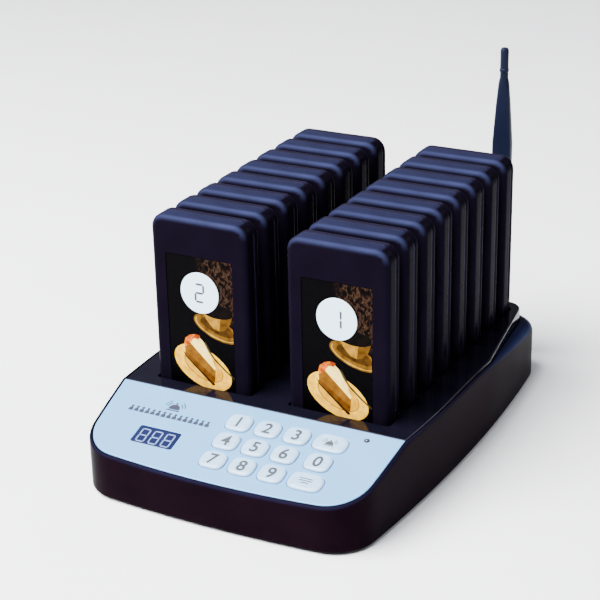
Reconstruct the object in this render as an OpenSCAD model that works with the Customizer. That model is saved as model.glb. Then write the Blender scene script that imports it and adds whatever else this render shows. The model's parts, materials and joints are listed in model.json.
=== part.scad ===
// Guest pager set: keypad transmitter and charging base with sixteen upright pagers.
// Front faces -Y, +Z is up, the feet stand on z = 0. All sizes are in millimetres.

/* [Case] */
// Front wall to rear wall
case_length = 223.5; // [223.5:0.5:232]
// Half of the width at the widest place
case_half_width = 76.8; // [76:0.2:82]
// Radius of the bowed side walls
side_radius = 870; // [800:10:1000]
// Radius of the slightly bowed front wall
front_radius = 616; // [560:4:700]
// Corner radius of the case seen from above
corner_radius = 21; // [19:0.5:23]
// Wall thickness of the case
wall = 2.2; // [1.8:0.1:2.6]
// Height of the flat deck above the table
deck_height = 37.2; // [36.4:0.2:42]
// Height of the case top at the rear wall
rear_height = 28.5; // [28:0.5:31]
// Height of the rubber feet below the case
foot_height = 1.2; // [0.8:0.2:2]

/* [Keypad panel] */
// Panel length seen from above
panel_run = 49.3; // [48.5:0.1:50.5]
// Slope of the panel
panel_tilt = 17; // [16:0.5:17.5]
// Panel thickness
panel_thick = 2; // [1.8:0.1:2.2]
// Gap between the panel and the case edge
panel_inset = 1.6; // [1.4:0.1:2]
// Width of a digit key
key_width = 12.4; // [11:0.1:12.6]
// Width of the call and function keys
wide_key_width = 16.4; // [14:0.1:16.8]
// Key length along the slope
key_length = 10.2; // [9:0.1:10.4]
// Corner radius of a key
key_round = 4.3; // [3:0.1:4.4]
// Height of a key above the panel
key_rise = 1.1; // [0.8:0.1:1.6]
// Travel of a key
key_travel = 1.2; // [0.8:0.1:1.2]
// Distance between key rows
row_step = 12.4; // [12.3:0.1:12.8]
// Distance between digit columns
column_step = 14.7; // [14.4:0.1:15]

/* [Pagers] */
// Width of a pager
pager_width = 50.2; // [49.6:0.2:51]
// Thickness of a pager
pager_thick = 12.5; // [12:0.1:13.4]
// Height of a pager
pager_height = 104.8; // [102:0.2:108]
// Depth of a pager below the deck
slot_depth = 22.6; // [20:0.2:22.8]
// Distance between the two columns of pagers
column_gap = 70.1; // [70:0.1:71]
// Distance between neighbouring rows of pagers
pager_step = 19.2; // [19:0.1:19.4]
// Corner radius of a pager seen from the front
pager_corner = 7; // [6:0.5:9]
// Rounding of the front edge of a pager
front_round = 3.1; // [2.6:0.1:3.4]
// Rounding of the rear edge of a pager
back_round = 2; // [1.6:0.1:2.4]
// Depth of the front shell
front_shell = 8; // [7.6:0.1:8.4]
// Wall of the pager shells
shell_wall = 1.6; // [1.4:0.1:1.8]
// Width of the picture card
card_width = 34.6; // [32:0.2:38]
// Height of the picture card
card_height = 66; // [60:1:70]
// Distance from the pager top to the card
card_drop = 18.3; // [17.7:0.1:19]
// Diameter of the number disc
disc_dia = 20; // [18:0.2:22]
// Distance from the pager top to the middle of the number disc
disc_drop = 35.4; // [34:0.2:37]

/* [Antenna] */
// Sideways position of the antenna
antenna_x = 42.5; // [40:0.5:46]
// Height of the antenna socket
antenna_z = 18.2; // [17.5:0.1:19]
// Distance the antenna stands out behind the case
antenna_reach = 14.5; // [14.5:0.1:16]
// Height of the antenna tip above the table
antenna_top = 165.5; // [140:0.5:200]
// Width of the antenna blade
blade_width = 10.1; // [9.4:0.1:10.4]
// Thickness of the antenna blade
blade_thick = 5; // [4.6:0.1:5.4]

/* [Hidden] */
$fn = 64;
wall_fn = 720;
fit = 0.1;
y_front = -(case_length + antenna_reach) / 2;
y_rear = y_front + case_length;
y_split = y_front + panel_run;
y_middle = y_front + 114.5;
y_knee = y_split + 73;
deck_end = y_split + 164.8;
deck_taper_start = y_split + 93;
deck_taper = 0.157;
deck_side = 74.6;
deck_corner = 9;
deck_plate = 2.4;
deck_ledge = 1.2;
ledge_z = rear_height - 4;
rear_slope = atan((deck_height - rear_height) / (y_rear - y_knee));
pager_y = y_split + 9.2;
pager_z = deck_height - slot_depth;
slot_play = 0.45;
cup_wall = 1.2;
floor_thick = 1.4;
seam = 0.2;
board_thick = 1.6;
board_top = pager_z - floor_thick - 1.2;
cover_thick = 2;
key_flange = 0.8;
flange_out = 0.6;
mat_top = -panel_thick - key_flange - fit - key_travel - fit;
mat_thick = 1;
main_top = mat_top - mat_thick;
key_x = [-4.1, -4.1 + column_step, -4.1 + 2 * column_step, 41.9];
key_y = [-12, -12 - row_step, -12 - 2 * row_step];
window_x = -37.2;
window_y = -31.3;
window_w = 21.5;
window_h = 10.8;
lamp_x = 56.5;
lamp_y = -5;
pin_gap = 24;
pin_dia = 2;
jack_x = -18;
jack_z = 14;
jack_dia = 8;
switch_x = -40;
switch_z = 15;
rocker_w = 13;
rocker_h = 9;
rocker_rest = 8;
ear_radius = 5;
pivot_out = antenna_reach - ear_radius;
tongue = 4.8;
post_x = 58;

// ---------- plan outlines ----------

// Outline of the case, moved in by d: bowed sides and front, straight rear
module case_plan(d) {
  difference() {
    intersection() {
      for_side(case_half_width - side_radius) circle(r = side_radius - d, $fn = wall_fn);
      for_side(side_radius - case_half_width) circle(r = side_radius - d, $fn = wall_fn);
      translate([0, y_front + front_radius]) circle(r = front_radius - d, $fn = wall_fn);
      translate([-200, y_rear - d - 400]) square([400, 400]);
    }
    for (side = [-1, 1])
      for (end = [-1, 1])
        corner_trim(side, end, corner_radius - d);
  }
}

module for_side(x) {
  translate([x, y_middle]) children();
}

// What a rounded corner takes away: a wedge outside the corner circle
module corner_trim(side, end, r) {
  c = corner_centre(end);
  big = 40;
  us = unit([c[0] - (case_half_width - side_radius), c[1] - y_middle]);
  ue = end < 0 ? unit([c[0], c[1] - y_front - front_radius]) : [0, 1];
  mirror([side < 0 ? 1 : 0, 0])
    difference() {
      polygon([c, c + big * us, c + big * (us + ue), c + big * ue]);
      translate(c) circle(r = r);
    }
}

function unit(v) = v / norm(v);

// Centre of a corner circle, one corner radius inside both walls it joins
function corner_centre(end) = end < 0 ? front_centre() : rear_centre();

function rear_centre() =
  let (
    y = y_rear - corner_radius,
    r = side_radius - corner_radius,
    dy = y - y_middle
  )
  [case_half_width - side_radius + sqrt(r * r - dy * dy), y];

function front_centre() =
  let (
    a = [case_half_width - side_radius, y_middle],
    b = [0, y_front + front_radius],
    ra = side_radius - corner_radius,
    rb = front_radius - corner_radius,
    d = norm(b - a),
    t = (d * d + ra * ra - rb * rb) / (2 * d),
    h = sqrt(ra * ra - t * t),
    u = (b - a) / d,
    p = a + t * u + h * [u[1], -u[0]],
    q = a + t * u - h * [u[1], -u[0]]
  )
  p[1] < q[1] ? p : q;

// Outline of the raised deck, moved in by d
module deck_plan(d) {
  e = deck_side - deck_taper * (deck_end - deck_taper_start) - d;
  intersection() {
    case_plan(panel_inset + d);
    difference() {
      polygon([
        [-deck_side + d, y_split + d], [deck_side - d, y_split + d],
        [deck_side - d, deck_taper_start], [e, deck_end - d],
        [-e, deck_end - d], [-deck_side + d, deck_taper_start]
      ]);
      for (side = [0, 1])
        mirror([side, 0]) deck_corner_trim(e, d);
    }
  }
}

// What the rounded rear corner of the deck takes away, with e the edge at the rear
module deck_corner_trim(e, d) {
  r = deck_corner - d;
  c = [e + r * (deck_taper - sqrt(1 + deck_taper * deck_taper)), deck_end - deck_corner];
  out = unit([1, deck_taper]);
  big = 30;
  difference() {
    polygon([c, c + big * out, c + big * (out + [0, 1]), c + [0, big]]);
    translate(c) circle(r = r);
  }
}

// ---------- placing ----------

// On the sloped panel: origin at its top edge, z out of the panel
module on_panel() {
  translate([0, y_split, deck_height]) rotate([panel_tilt, 0, 0]) children();
}

// Everything below the case top, moved down by d, and by p under the panel
module under_top(d, p) {
  intersection() {
    translate([-100, y_front - 20, -1]) cube([200, case_length + 40, deck_height - d + 1]);
    on_panel() translate([-100, -90, -90 - p]) cube([200, 400, 90]);
    translate([0, y_knee, deck_height]) rotate([-rear_slope, 0, 0])
      translate([-100, -300, -90 - d]) cube([200, 460, 90]);
  }
}

// A slab between two depths below the sloped panel plane
module panel_slab(top, bottom) {
  on_panel() translate([-100, -panel_run * 1.2, bottom]) cube([200, panel_run * 1.2, top - bottom]);
}

function pager_pos(i) = [
  (i % 2 == 1 ? 1 : -1) * column_gap / 2,
  pager_y + floor((i - 1) / 2) * pager_step,
  pager_z
];

module each_pager() {
  for (i = [1 : 16])
    translate(pager_pos(i)) children();
}

// ---------- case ----------

module case_block(d, p, z0) {
  intersection() {
    translate([0, 0, z0]) linear_extrude(deck_height) case_plan(d);
    under_top(d, p);
  }
}

module upper_case() {
  color([0.14, 0.10, 0.13])
    difference() {
      case_block(0, 0, foot_height);
      difference() {
        case_block(wall, panel_thick + 1.8, -1);
        deck_well();
        screw_bosses();
      }
      deck_opening();
      panel_opening();
      rear_openings();
    }
}

// Wall round the deck skirt, with a ledge under the skirt
module deck_well() {
  translate([0, 0, ledge_z - 2.4]) linear_extrude(deck_height) difference() {
    deck_plan(-1.8);
    deck_plan(-0.15);
  }
  translate([0, 0, ledge_z - 2.4]) linear_extrude(2.4) difference() {
    deck_plan(-1.8);
    deck_plan(deck_ledge);
  }
}

module deck_opening() {
  translate([0, 0, ledge_z]) linear_extrude(deck_height) deck_plan(-0.15);
}

// The panel lies flush in a shallow step with a through opening below it
module panel_opening() {
  intersection() {
    linear_extrude(deck_height + 5) difference() {
      case_plan(panel_inset);
      translate([-100, y_split]) square([200, 300]);
    }
    panel_slab(5, -panel_thick);
  }
  intersection() {
    linear_extrude(deck_height + 5) difference() {
      case_plan(wall + 2.5);
      translate([-100, y_split]) square([200, 300]);
    }
    panel_slab(5, -12);
  }
}

module rear_openings() {
  translate([jack_x, y_rear + 5, jack_z]) rotate([90, 0, 0]) cylinder(d = jack_dia + 0.3, h = 12);
  translate([switch_x - rocker_w / 2 - 1.2, y_rear - 8, switch_z - rocker_h / 2 - 1.2])
    cube([rocker_w + 2.4, 20, rocker_h + 2.4]);
  translate([antenna_x, y_rear + 5, antenna_z]) rotate([90, 0, 0]) cylinder(d = 6.6, h = 12);
}

// Posts above the bottom cover screws, each tied to the nearest wall
module screw_bosses() {
  intersection() {
    case_block(1, 1, -1);
    for (p = screw_points())
      translate([p[0], p[1], foot_height + cover_thick]) difference() {
        union() {
          cylinder(d = 7, h = 9);
          translate([p[0] > 0 ? 0 : -9, -1.2, 0]) cube([9, 2.4, 9]);
        }
        translate([0, 0, -1]) cylinder(d = 2.8, h = 9);
      }
  }
}

function screw_points() = [
  [-65.5, y_front + 22], [65.5, y_front + 22],
  [-70.5, y_split + 72], [70.5, y_split + 72],
  [-60, y_rear - 12], [60, y_rear - 12]
];

module bottom_cover() {
  color([0.10, 0.09, 0.10])
    difference() {
      union() {
        translate([0, 0, foot_height]) linear_extrude(cover_thick) case_plan(wall + 0.15);
        cover_posts();
      }
      for (p = screw_points()) {
        translate([p[0], p[1], foot_height - 1]) cylinder(d = 3.4, h = cover_thick + 2);
        translate([p[0], p[1], foot_height - 1]) cylinder(d = 5.8, h = 1.9);
      }
      for (p = foot_points())
        translate([p[0], p[1], foot_height - 1]) cylinder(d = 10.3, h = 1.6);
      vent_slots();
    }
}

// Posts that hold up the charging board
module cover_posts() {
  for (side = [-1, 1])
    for (k = [0 : 3])
      translate([side * post_x / 2, pager_y + 16 + k * 38.4, foot_height])
        cylinder(d = 6, h = board_top - board_thick - foot_height);
}

module vent_slots() {
  for (k = [0 : 5])
    translate([-20, y_front + 60 + k * 8, 0]) cube([40, 2.4, 10]);
}

function foot_points() = [
  [-54, y_front + 14], [54, y_front + 14], [-54, y_rear - 26], [54, y_rear - 26]
];

module rubber_feet() {
  color([0.07, 0.07, 0.07])
    for (p = foot_points())
      translate([p[0], p[1], 0]) difference() {
        cylinder(d = 10, h = foot_height + 0.6);
        translate([0, 0, -3.2]) sphere(d = 7.6);
      }
}

module case_screws() {
  color([0.6, 0.6, 0.62])
    for (p = screw_points())
      translate([p[0], p[1], foot_height]) difference() {
        union() {
          cylinder(d = 5.4, h = 0.9);
          cylinder(d = 2.6, h = 8.4);
        }
        for (a = [0, 90])
          rotate([0, 0, a]) translate([-1.6, -0.35, -1]) cube([3.2, 0.7, 1.6]);
      }
}

// ---------- charging deck ----------

module slot_shape(grow) {
  r = 1.6 + grow;
  w = pager_width / 2 + slot_play + grow;
  f = -slot_play - grow;
  b = pager_thick + slot_play + grow;
  for (x = [-w + r, w - r])
    for (y = [f + r, b - r])
      translate([x, y]) circle(r = r);
  translate([-w, f + r]) square([2 * w, b - f - 2 * r]);
  translate([-w + r, f]) square([2 * w - 2 * r, b - f]);
}

module charging_deck() {
  color([0.08, 0.10, 0.17])
    difference() {
      union() {
        translate([0, 0, deck_height - deck_plate]) linear_extrude(deck_plate) deck_plan(0);
        deck_skirt();
        each_pager() translate([0, 0, -floor_thick])
          linear_extrude(slot_depth - 1 + floor_thick) slot_shape(cup_wall);
      }
      each_pager() linear_extrude(slot_depth + 5) slot_shape(0);
      each_pager() pin_places() translate([0, 0, -5]) cylinder(d = pin_dia + 0.6, h = 10);
    }
}

// Thin wall below the edge of the deck plate
module deck_skirt() {
  translate([0, 0, ledge_z]) linear_extrude(deck_height - ledge_z - 1)
    difference() {
      deck_plan(0);
      deck_plan(1.8);
    }
}

module pin_places() {
  for (side = [-1, 1])
    translate([side * pin_gap / 2, pager_thick / 2, 0]) children();
}

module charging_pins() {
  color([0.85, 0.68, 0.30])
    each_pager() pin_places() {
      translate([0, 0, board_top - pager_z - 1]) cylinder(d = pin_dia, h = pager_z - board_top + 0.95);
      translate([0, 0, board_top - pager_z]) cylinder(d = 3.4, h = 0.7);
    }
}

module charging_board() {
  color([0.06, 0.28, 0.16])
    difference() {
      translate([-64, pager_y - 4, board_top - board_thick])
        cube([128, 7 * pager_step + pager_thick + 5, board_thick]);
      each_pager() pin_places() translate([0, 0, -20]) cylinder(d = pin_dia + 0.1, h = 30);
    }
}

// ---------- panel and keys ----------

module rounded(w, h, r) {
  for (x = [-w / 2 + r, w / 2 - r])
    for (y = [-h / 2 + r, h / 2 - r])
      translate([x, y]) circle(r = r);
  translate([-w / 2, -h / 2 + r]) square([w, h - 2 * r]);
  translate([-w / 2 + r, -h / 2]) square([w - 2 * r, h]);
}

module keypad_panel() {
  color([0.80, 0.86, 0.92])
    difference() {
      intersection() {
        linear_extrude(deck_height + 5) difference() {
          case_plan(panel_inset + 0.12);
          translate([-100, y_split - 0.1]) square([200, 300]);
        }
        panel_slab(0, -panel_thick);
      }
      on_panel() {
        for (k = [0 : 2])
          for (c = [0 : 3])
            translate([key_x[c], key_y[k], -10]) linear_extrude(20)
              key_shape(cap_width(c, k), 0.25);
        translate([window_x, window_y, -10]) linear_extrude(20) rounded(window_w - 2, window_h - 2, 0.6);
        translate([window_x, window_y, -1.3]) linear_extrude(5) rounded(window_w + 0.2, window_h + 0.2, 1.1);
        translate([lamp_x, lamp_y, -10]) cylinder(d = 2.7, h = 20);
      }
    }
}

function cap_width(c, k) = c == 3 && k != 1 ? wide_key_width : key_width;

module key_shape(w, grow) {
  rounded(w + 2 * grow, key_length + 2 * grow, key_round + grow);
}

// A key cap with a domed top, a retaining flange and a hollow underside
module key_cap(c, k) {
  w = cap_width(c, k);
  dome = 60;
  color([0.90, 0.93, 0.96])
    on_panel() translate([key_x[c], key_y[k], 0])
      difference() {
        union() {
          intersection() {
            translate([0, 0, -panel_thick - fit - key_flange])
              linear_extrude(panel_thick + fit + key_flange + key_rise + 1) key_shape(w, 0);
            translate([0, 0, key_rise - dome]) sphere(r = dome, $fn = 128);
          }
          translate([0, 0, -panel_thick - fit - key_flange]) linear_extrude(key_flange)
            key_shape(w, flange_out);
        }
        translate([0, 0, -panel_thick - fit - key_flange - 1])
          linear_extrude(panel_thick + fit + key_flange) key_shape(w, -1.6);
      }
}

module keypad_mat() {
  color([0.75, 0.75, 0.74])
    on_panel() {
      difference() {
        translate([-16, key_y[2] - 8, mat_top - mat_thick]) cube([70, 41, mat_thick]);
        for (x = [-13.5, 51.5])
          translate([x, key_y[1], mat_top - 5]) cylinder(d = 2.4, h = 10);
      }
      for (k = [0 : 2])
        for (c = [0 : 3])
          translate([key_x[c], key_y[k], mat_top - 0.2])
            cylinder(d1 = 6.4, d2 = 5, h = 1.9);
    }
}

module main_board() {
  color([0.06, 0.28, 0.16])
    on_panel() difference() {
      translate([-60, -42, main_top - board_thick]) cube([120, 36, board_thick]);
      for (x = [-55, 55])
        for (y = [-12, -36])
          translate([x, y, main_top - 5]) cylinder(d = 3, h = 10);
    }
}

module radio_module() {
  color([0.72, 0.73, 0.75])
    on_panel() translate([-10, -30, main_top - board_thick - 3])
      difference() {
        cube([26, 16, 3]);
        translate([1, 1, -1]) cube([24, 14, 2]);
      }
}

module display_lens() {
  color([0.16, 0.26, 0.45])
    on_panel() translate([window_x, window_y, -1.3]) linear_extrude(1.25)
      rounded(window_w, window_h, 1);
}

module display_module() {
  color([0.07, 0.10, 0.20])
    on_panel() difference() {
      translate([window_x - 12, window_y - 6.5, main_top]) cube([24, 13, -panel_thick - main_top - 0.1]);
      translate([window_x - window_w / 2 + 1.5, window_y - window_h / 2 + 1.5, -panel_thick - 0.7])
        cube([window_w - 3, window_h - 3, 2]);
    }
}

// Three seven-bar digits standing on the display module
module display_digits() {
  color([0.85, 0.93, 1])
    on_panel() translate([window_x, window_y, -panel_thick - 0.7])
      for (k = [-1 : 1])
        translate([k * 5.6, 0, 0]) seven_bars(3.2, 6.2, 0.7, 0.5);
}

module seven_bars(w, h, t, z) {
  g = 0.12;
  for (y = [-h / 2, 0, h / 2])
    translate([-w / 2 + t / 2 + g, y - t / 2, 0]) cube([w - t - 2 * g, t, z]);
  for (x = [-w / 2, w / 2])
    for (y = [-h / 2, 0])
      translate([x - t / 2, y + t / 2 + g, 0]) cube([t, h / 2 - t - 2 * g, z]);
}

module status_lamp() {
  color([0.9, 0.2, 0.15])
    on_panel() translate([lamp_x, lamp_y, 0]) {
      translate([0, 0, main_top]) cylinder(d = 2.4, h = -main_top - 0.4);
      translate([0, 0, -0.6]) sphere(d = 2.4);
      translate([0, 0, main_top]) cylinder(d = 3.4, h = 0.8);
    }
}

// ---------- rear fittings ----------

module dc_inlet() {
  color([0.08, 0.08, 0.09])
    translate([jack_x, y_rear, jack_z]) rotate([90, 0, 0]) {
      difference() {
        union() {
          translate([0, 0, -0.4]) cylinder(d = jack_dia, h = 14);
          translate([-4.5, -5.5, wall + 0.1]) cube([9, 11, 11]);
        }
        translate([0, 0, -2]) cylinder(d = 5.6, h = 12);
      }
      translate([0, 0, 0.6]) cylinder(d = 2, h = 10);
    }
}

module switch_frame() {
  color([0.09, 0.09, 0.10])
    translate([switch_x, y_rear, switch_z])
      difference() {
        union() {
          translate([-rocker_w / 2 - 2, 0, -rocker_h / 2 - 2]) cube([rocker_w + 4, 1.2, rocker_h + 4]);
          translate([-rocker_w / 2 - 1, -9, -rocker_h / 2 - 1]) cube([rocker_w + 2, 9.1, rocker_h + 2]);
        }
        translate([-rocker_w / 2, -7.5, -rocker_h / 2]) cube([rocker_w, 20, rocker_h]);
        translate([-rocker_w / 2 - 5, -2, 0]) rotate([0, 90, 0]) cylinder(d = 1.7, h = rocker_w + 10);
      }
}

// Rocker seesaws on its own trunnions
module power_rocker() {
  r = 5.4;
  color([0.13, 0.13, 0.14])
    translate([switch_x, y_rear - 2, switch_z]) rotate([rocker_rest, 0, 0])
      difference() {
        union() {
          intersection() {
            rotate([0, 90, 0]) cylinder(r = r, h = rocker_w - 0.4, center = true);
            translate([-10, -2.5, -rocker_h / 2 + 0.6]) cube([20, 10, rocker_h - 1.2]);
          }
          rotate([0, 90, 0]) cylinder(d = 1.6, h = rocker_w + 1.4, center = true);
        }
        translate([-10, 9.6, 0]) rotate([0, 90, 0]) cylinder(r = 6, h = 20);
      }
}

// ---------- antenna ----------

module at_socket() {
  translate([antenna_x, y_rear, antenna_z]) children();
}

module antenna_connector() {
  color([0.78, 0.64, 0.32])
    at_socket() rotate([-90, 0, 0])
      difference() {
        union() {
          translate([0, 0, -9]) cylinder(d = 6.4, h = 13);
          cylinder(d = 10, h = 2, $fn = 6);
          translate([0, 0, -wall - 2.2]) cylinder(d = 9.4, h = 2, $fn = 6);
        }
        translate([0, 0, 1]) cylinder(d = 4.6, h = 5);
      }
}

module antenna_elbow() {
  color([0.09, 0.09, 0.10])
    at_socket() difference() {
      union() {
        rotate([-90, 0, 0]) translate([0, 0, 2.3]) cylinder(d = 9.6, h = 3.7);
        intersection() {
          union() {
            translate([-5, pivot_out, 0]) rotate([0, 90, 0]) cylinder(r = ear_radius, h = 10);
            translate([-5, 5, -ear_radius]) cube([10, pivot_out - 5, 2 * ear_radius]);
          }
          rotate([-90, 0, 0]) cylinder(d = 9.6, h = 30);
        }
      }
      translate([-tongue / 2 - fit, 6, -10]) cube([tongue + 2 * fit, 20, 20]);
      translate([-10, pivot_out, 0]) rotate([0, 90, 0]) cylinder(d = 2, h = 20);
      rotate([-90, 0, 0]) cylinder(d = 6.5, h = 4.4);
    }
}

module antenna_hinge_pin() {
  color([0.7, 0.7, 0.72])
    at_socket() translate([-4.2, pivot_out, 0]) rotate([0, 90, 0]) cylinder(d = 1.9, h = 8.4);
}

// Flat paddle that narrows to a round tip, with a tongue held between the elbow ears
module antenna_blade() {
  root = ear_radius + 0.9;
  top = antenna_top - antenna_z;
  color([0.07, 0.07, 0.08])
    at_socket() translate([0, pivot_out, 0]) difference() {
      union() {
        intersection() {
          rotate_extrude() polygon([
            [0, root], [blade_width / 2 - 0.8, root], [blade_width / 2, root + 1.2],
            [blade_width / 2, top - 50], [2.6, top - 17], [2.1, top - 15.5], [2.1, top - 12.4],
            [2.45, top - 12], [2.45, top - 11], [2.15, top - 10.6], [2.15, top - 0.6],
            [1.6, top], [0, top]
          ]);
          translate([-20, -blade_thick / 2, 0]) cube([40, blade_thick, 300]);
        }
        translate([-tongue / 2, -2.4, 0]) cube([tongue, 4.8, root + 1]);
        translate([-tongue / 2, 0, 0]) rotate([0, 90, 0]) cylinder(r = 2.4, h = tongue);
      }
      translate([-10, 0, 0]) rotate([0, 90, 0]) cylinder(d = 2, h = 20);
    }
}

// ---------- pagers ----------

// Section across one edge of a shell: front at y = 0, back at y = t
module edge_section(w, t, rf, rb) {
  for (side = [-1, 1]) {
    translate([side * (w / 2 - rf), rf]) circle(r = rf);
    translate([side * (w / 2 - rb), t - rb]) circle(r = rb);
  }
  translate([-w / 2 + rf, 0]) square([w - 2 * rf, t / 2]);
  translate([-w / 2 + rb, t / 2]) square([w - 2 * rb, t / 2]);
  translate([-w / 2, rf]) square([w, t - rf - rb]);
}

// Rounded slab standing on z = 0, front face on y = 0
module slab(w, h, t, r, rf, rb) {
  translate([0, 0, r]) linear_extrude(h - 2 * r) edge_section(w, t, rf, rb);
  translate([-w / 2 + r, 0, h / 2]) rotate([0, 90, 0])
    linear_extrude(w - 2 * r) edge_section(h, t, rf, rb);
  for (x = [-w / 2 + r, w / 2 - r])
    for (z = [r, h - r])
      translate([x, 0, z]) rotate([-90, 0, 0]) rotate_extrude() intersection() {
        edge_section(2 * r, t, rf, rb);
        square([r, t]);
      }
}

module pager_slab(d) {
  translate([0, d, d])
    slab(pager_width - 2 * d, pager_height - 2 * d, pager_thick - 2 * d,
      pager_corner - d, max(front_round - d, 0.5), max(back_round - d, 0.5));
}

module band(y0, y1) {
  translate([-50, y0, -10]) cube([100, y1 - y0, pager_height + 20]);
}

module shell_front() {
  difference() {
    union() {
      difference() {
        intersection() {
          pager_slab(0);
          band(-1, front_shell);
        }
        pager_slab(shell_wall);
      }
      screw_places() translate([0, 1, 0]) rotate([-90, 0, 0]) cylinder(d = 5, h = 3.3);
    }
    screw_places() translate([0, 2.4, 0]) rotate([-90, 0, 0]) cylinder(d = 2, h = 20);
    card_place(0.15, 0.9);
    contact_places() translate([-2.7, -2.1, -1]) cube([5.4, 3.7, 2.9]);
  }
}

module shell_back() {
  difference() {
    union() {
      difference() {
        intersection() {
          pager_slab(0);
          band(front_shell + seam, pager_thick + 1);
        }
        pager_slab(shell_wall);
      }
      shell_lip();
      screw_places() translate([0, 5.6, 0]) rotate([-90, 0, 0])
        cylinder(d = 5, h = pager_thick - 6.4);
    }
    screw_places() rotate([-90, 0, 0]) cylinder(d = 2, h = 20);
    screw_places() translate([0, pager_thick - 0.9, 0]) rotate([-90, 0, 0]) cylinder(d = 3.6, h = 5);
    contact_places() translate([-2.7, -2.1, -1]) cube([5.4, 4.2, 5]);
  }
}

// Thin lip of the back shell that enters the front shell
module shell_lip() {
  difference() {
    intersection() {
      pager_slab(shell_wall + 0.1);
      band(front_shell - 1.2, front_shell + 2.5);
    }
    pager_slab(shell_wall + 1);
  }
}

module card_place(grow, depth) {
  translate([-card_width / 2 - grow, -1, pager_height - card_drop - card_height - grow])
    cube([card_width + 2 * grow, 1 + depth, card_height + 2 * grow]);
}

module card() {
  intersection() {
    card_place(0, 0.9);
    band(0.3, 5);
  }
}

module disc() {
  translate([0, 0, pager_height - disc_drop]) rotate([-90, 0, 0])
    translate([0, 0, -0.05]) cylinder(d = disc_dia, h = 0.3, $fn = 96);
}

module contact_places() {
  for (side = [-1, 1])
    translate([side * pin_gap / 2, pager_thick / 2, 0]) children();
}

module contacts() {
  contact_places() translate([-2.6, -2, 0]) cube([5.2, 3.4, 1.8]);
}

module screw_places() {
  for (x = [-19, 19])
    for (z = [12, pager_height - 12])
      translate([x, 0, z]) children();
}

module pager_screws() {
  screw_places() difference() {
    union() {
      translate([0, pager_thick - 0.85, 0]) rotate([-90, 0, 0]) cylinder(d = 3.4, h = 0.7);
      translate([0, 2.8, 0]) rotate([-90, 0, 0]) cylinder(d = 1.9, h = pager_thick - 3.3);
    }
    translate([-1.1, pager_thick - 0.5, -0.25]) cube([2.2, 2, 0.5]);
  }
}

module pager_board() {
  difference() {
    translate([-21.5, 4.4, 8]) cube([43, 1, pager_height - 16]);
    screw_places() translate([0, -1, 0]) rotate([-90, 0, 0]) cylinder(d = 3, h = 20);
  }
}

module pager_lamps() {
  for (x = [-16, 16])
    for (z = [24, 53, 82])
      translate([x, 2.8, z]) cube([3.5, 1.6, 2.8]);
}

module place(i) {
  translate(pager_pos(i)) children();
}

// A whole pager without its inner parts, as separate solids
module simple_pager(i) {
  color([0.12, 0.09, 0.15])
    place(i) {
      shell_front();
      shell_back();
      card();
      disc();
      contacts();
      pager_screws();
    }
}

// ---------- one module per named sub-part ----------

module key_0() {
  key_cap(3, 1);
}

module key_1() {
  key_cap(0, 0);
}

module key_2() {
  key_cap(1, 0);
}

module key_3() {
  key_cap(2, 0);
}

module key_4() {
  key_cap(0, 1);
}

module key_5() {
  key_cap(1, 1);
}

module key_6() {
  key_cap(2, 1);
}

module key_7() {
  key_cap(0, 2);
}

module key_8() {
  key_cap(1, 2);
}

module key_9() {
  key_cap(2, 2);
}

module key_call() {
  key_cap(3, 0);
}

module key_function() {
  key_cap(3, 2);
}

module pager_01_front_shell() {
  color([0.12, 0.09, 0.15]) place(1) shell_front();
}

module pager_01_back_shell() {
  color([0.14, 0.12, 0.17]) place(1) shell_back();
}

module pager_01_card() {
  color([0.10, 0.07, 0.06]) place(1) card();
}

module pager_01_disc() {
  color([0.95, 0.95, 0.96]) place(1) disc();
}

module pager_01_board() {
  color([0.06, 0.28, 0.16]) place(1) pager_board();
}

module pager_01_lamps() {
  color([0.9, 0.25, 0.2]) place(1) pager_lamps();
}

module pager_01_contacts() {
  color([0.85, 0.68, 0.30]) place(1) contacts();
}

module pager_01_screws() {
  color([0.6, 0.6, 0.62]) place(1) pager_screws();
}

module pager_01_battery() {
  color([0.72, 0.74, 0.78])
    place(1) translate([-15, 5.6, 34]) cube([30, 4, 46]);
}

module pager_01_motor() {
  color([0.75, 0.75, 0.77])
    place(1) translate([0, 5.5, 92]) rotate([-90, 0, 0]) cylinder(d = 10, h = 3);
}

module pager_02() {
  simple_pager(2);
}

module pager_03() {
  simple_pager(3);
}

module pager_04() {
  simple_pager(4);
}

module pager_05() {
  simple_pager(5);
}

module pager_06() {
  simple_pager(6);
}

module pager_07() {
  simple_pager(7);
}

module pager_08() {
  simple_pager(8);
}

module pager_09() {
  simple_pager(9);
}

module pager_10() {
  simple_pager(10);
}

module pager_11() {
  simple_pager(11);
}

module pager_12() {
  simple_pager(12);
}

module pager_13() {
  simple_pager(13);
}

module pager_14() {
  simple_pager(14);
}

module pager_15() {
  simple_pager(15);
}

module pager_16() {
  simple_pager(16);
}

bottom_cover();
upper_case();
charging_deck();
keypad_panel();
display_lens();
display_module();
display_digits();
keypad_mat();
main_board();
radio_module();
charging_board();
charging_pins();
status_lamp();
case_screws();
rubber_feet();
dc_inlet();
switch_frame();
power_rocker();
key_0();
key_1();
key_2();
key_3();
key_4();
key_5();
key_6();
key_7();
key_8();
key_9();
key_call();
key_function();
antenna_connector();
antenna_elbow();
antenna_hinge_pin();
antenna_blade();
pager_01_front_shell();
pager_01_back_shell();
pager_01_card();
pager_01_disc();
pager_01_board();
pager_01_battery();
pager_01_motor();
pager_01_lamps();
pager_01_contacts();
pager_01_screws();
pager_02();
pager_03();
pager_04();
pager_05();
pager_06();
pager_07();
pager_08();
pager_09();
pager_10();
pager_11();
pager_12();
pager_13();
pager_14();
pager_15();
pager_16();
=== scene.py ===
import json
import math

import bmesh
import bpy
from mathutils import Matrix, Vector
from mathutils.geometry import tessellate_polygon


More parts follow.
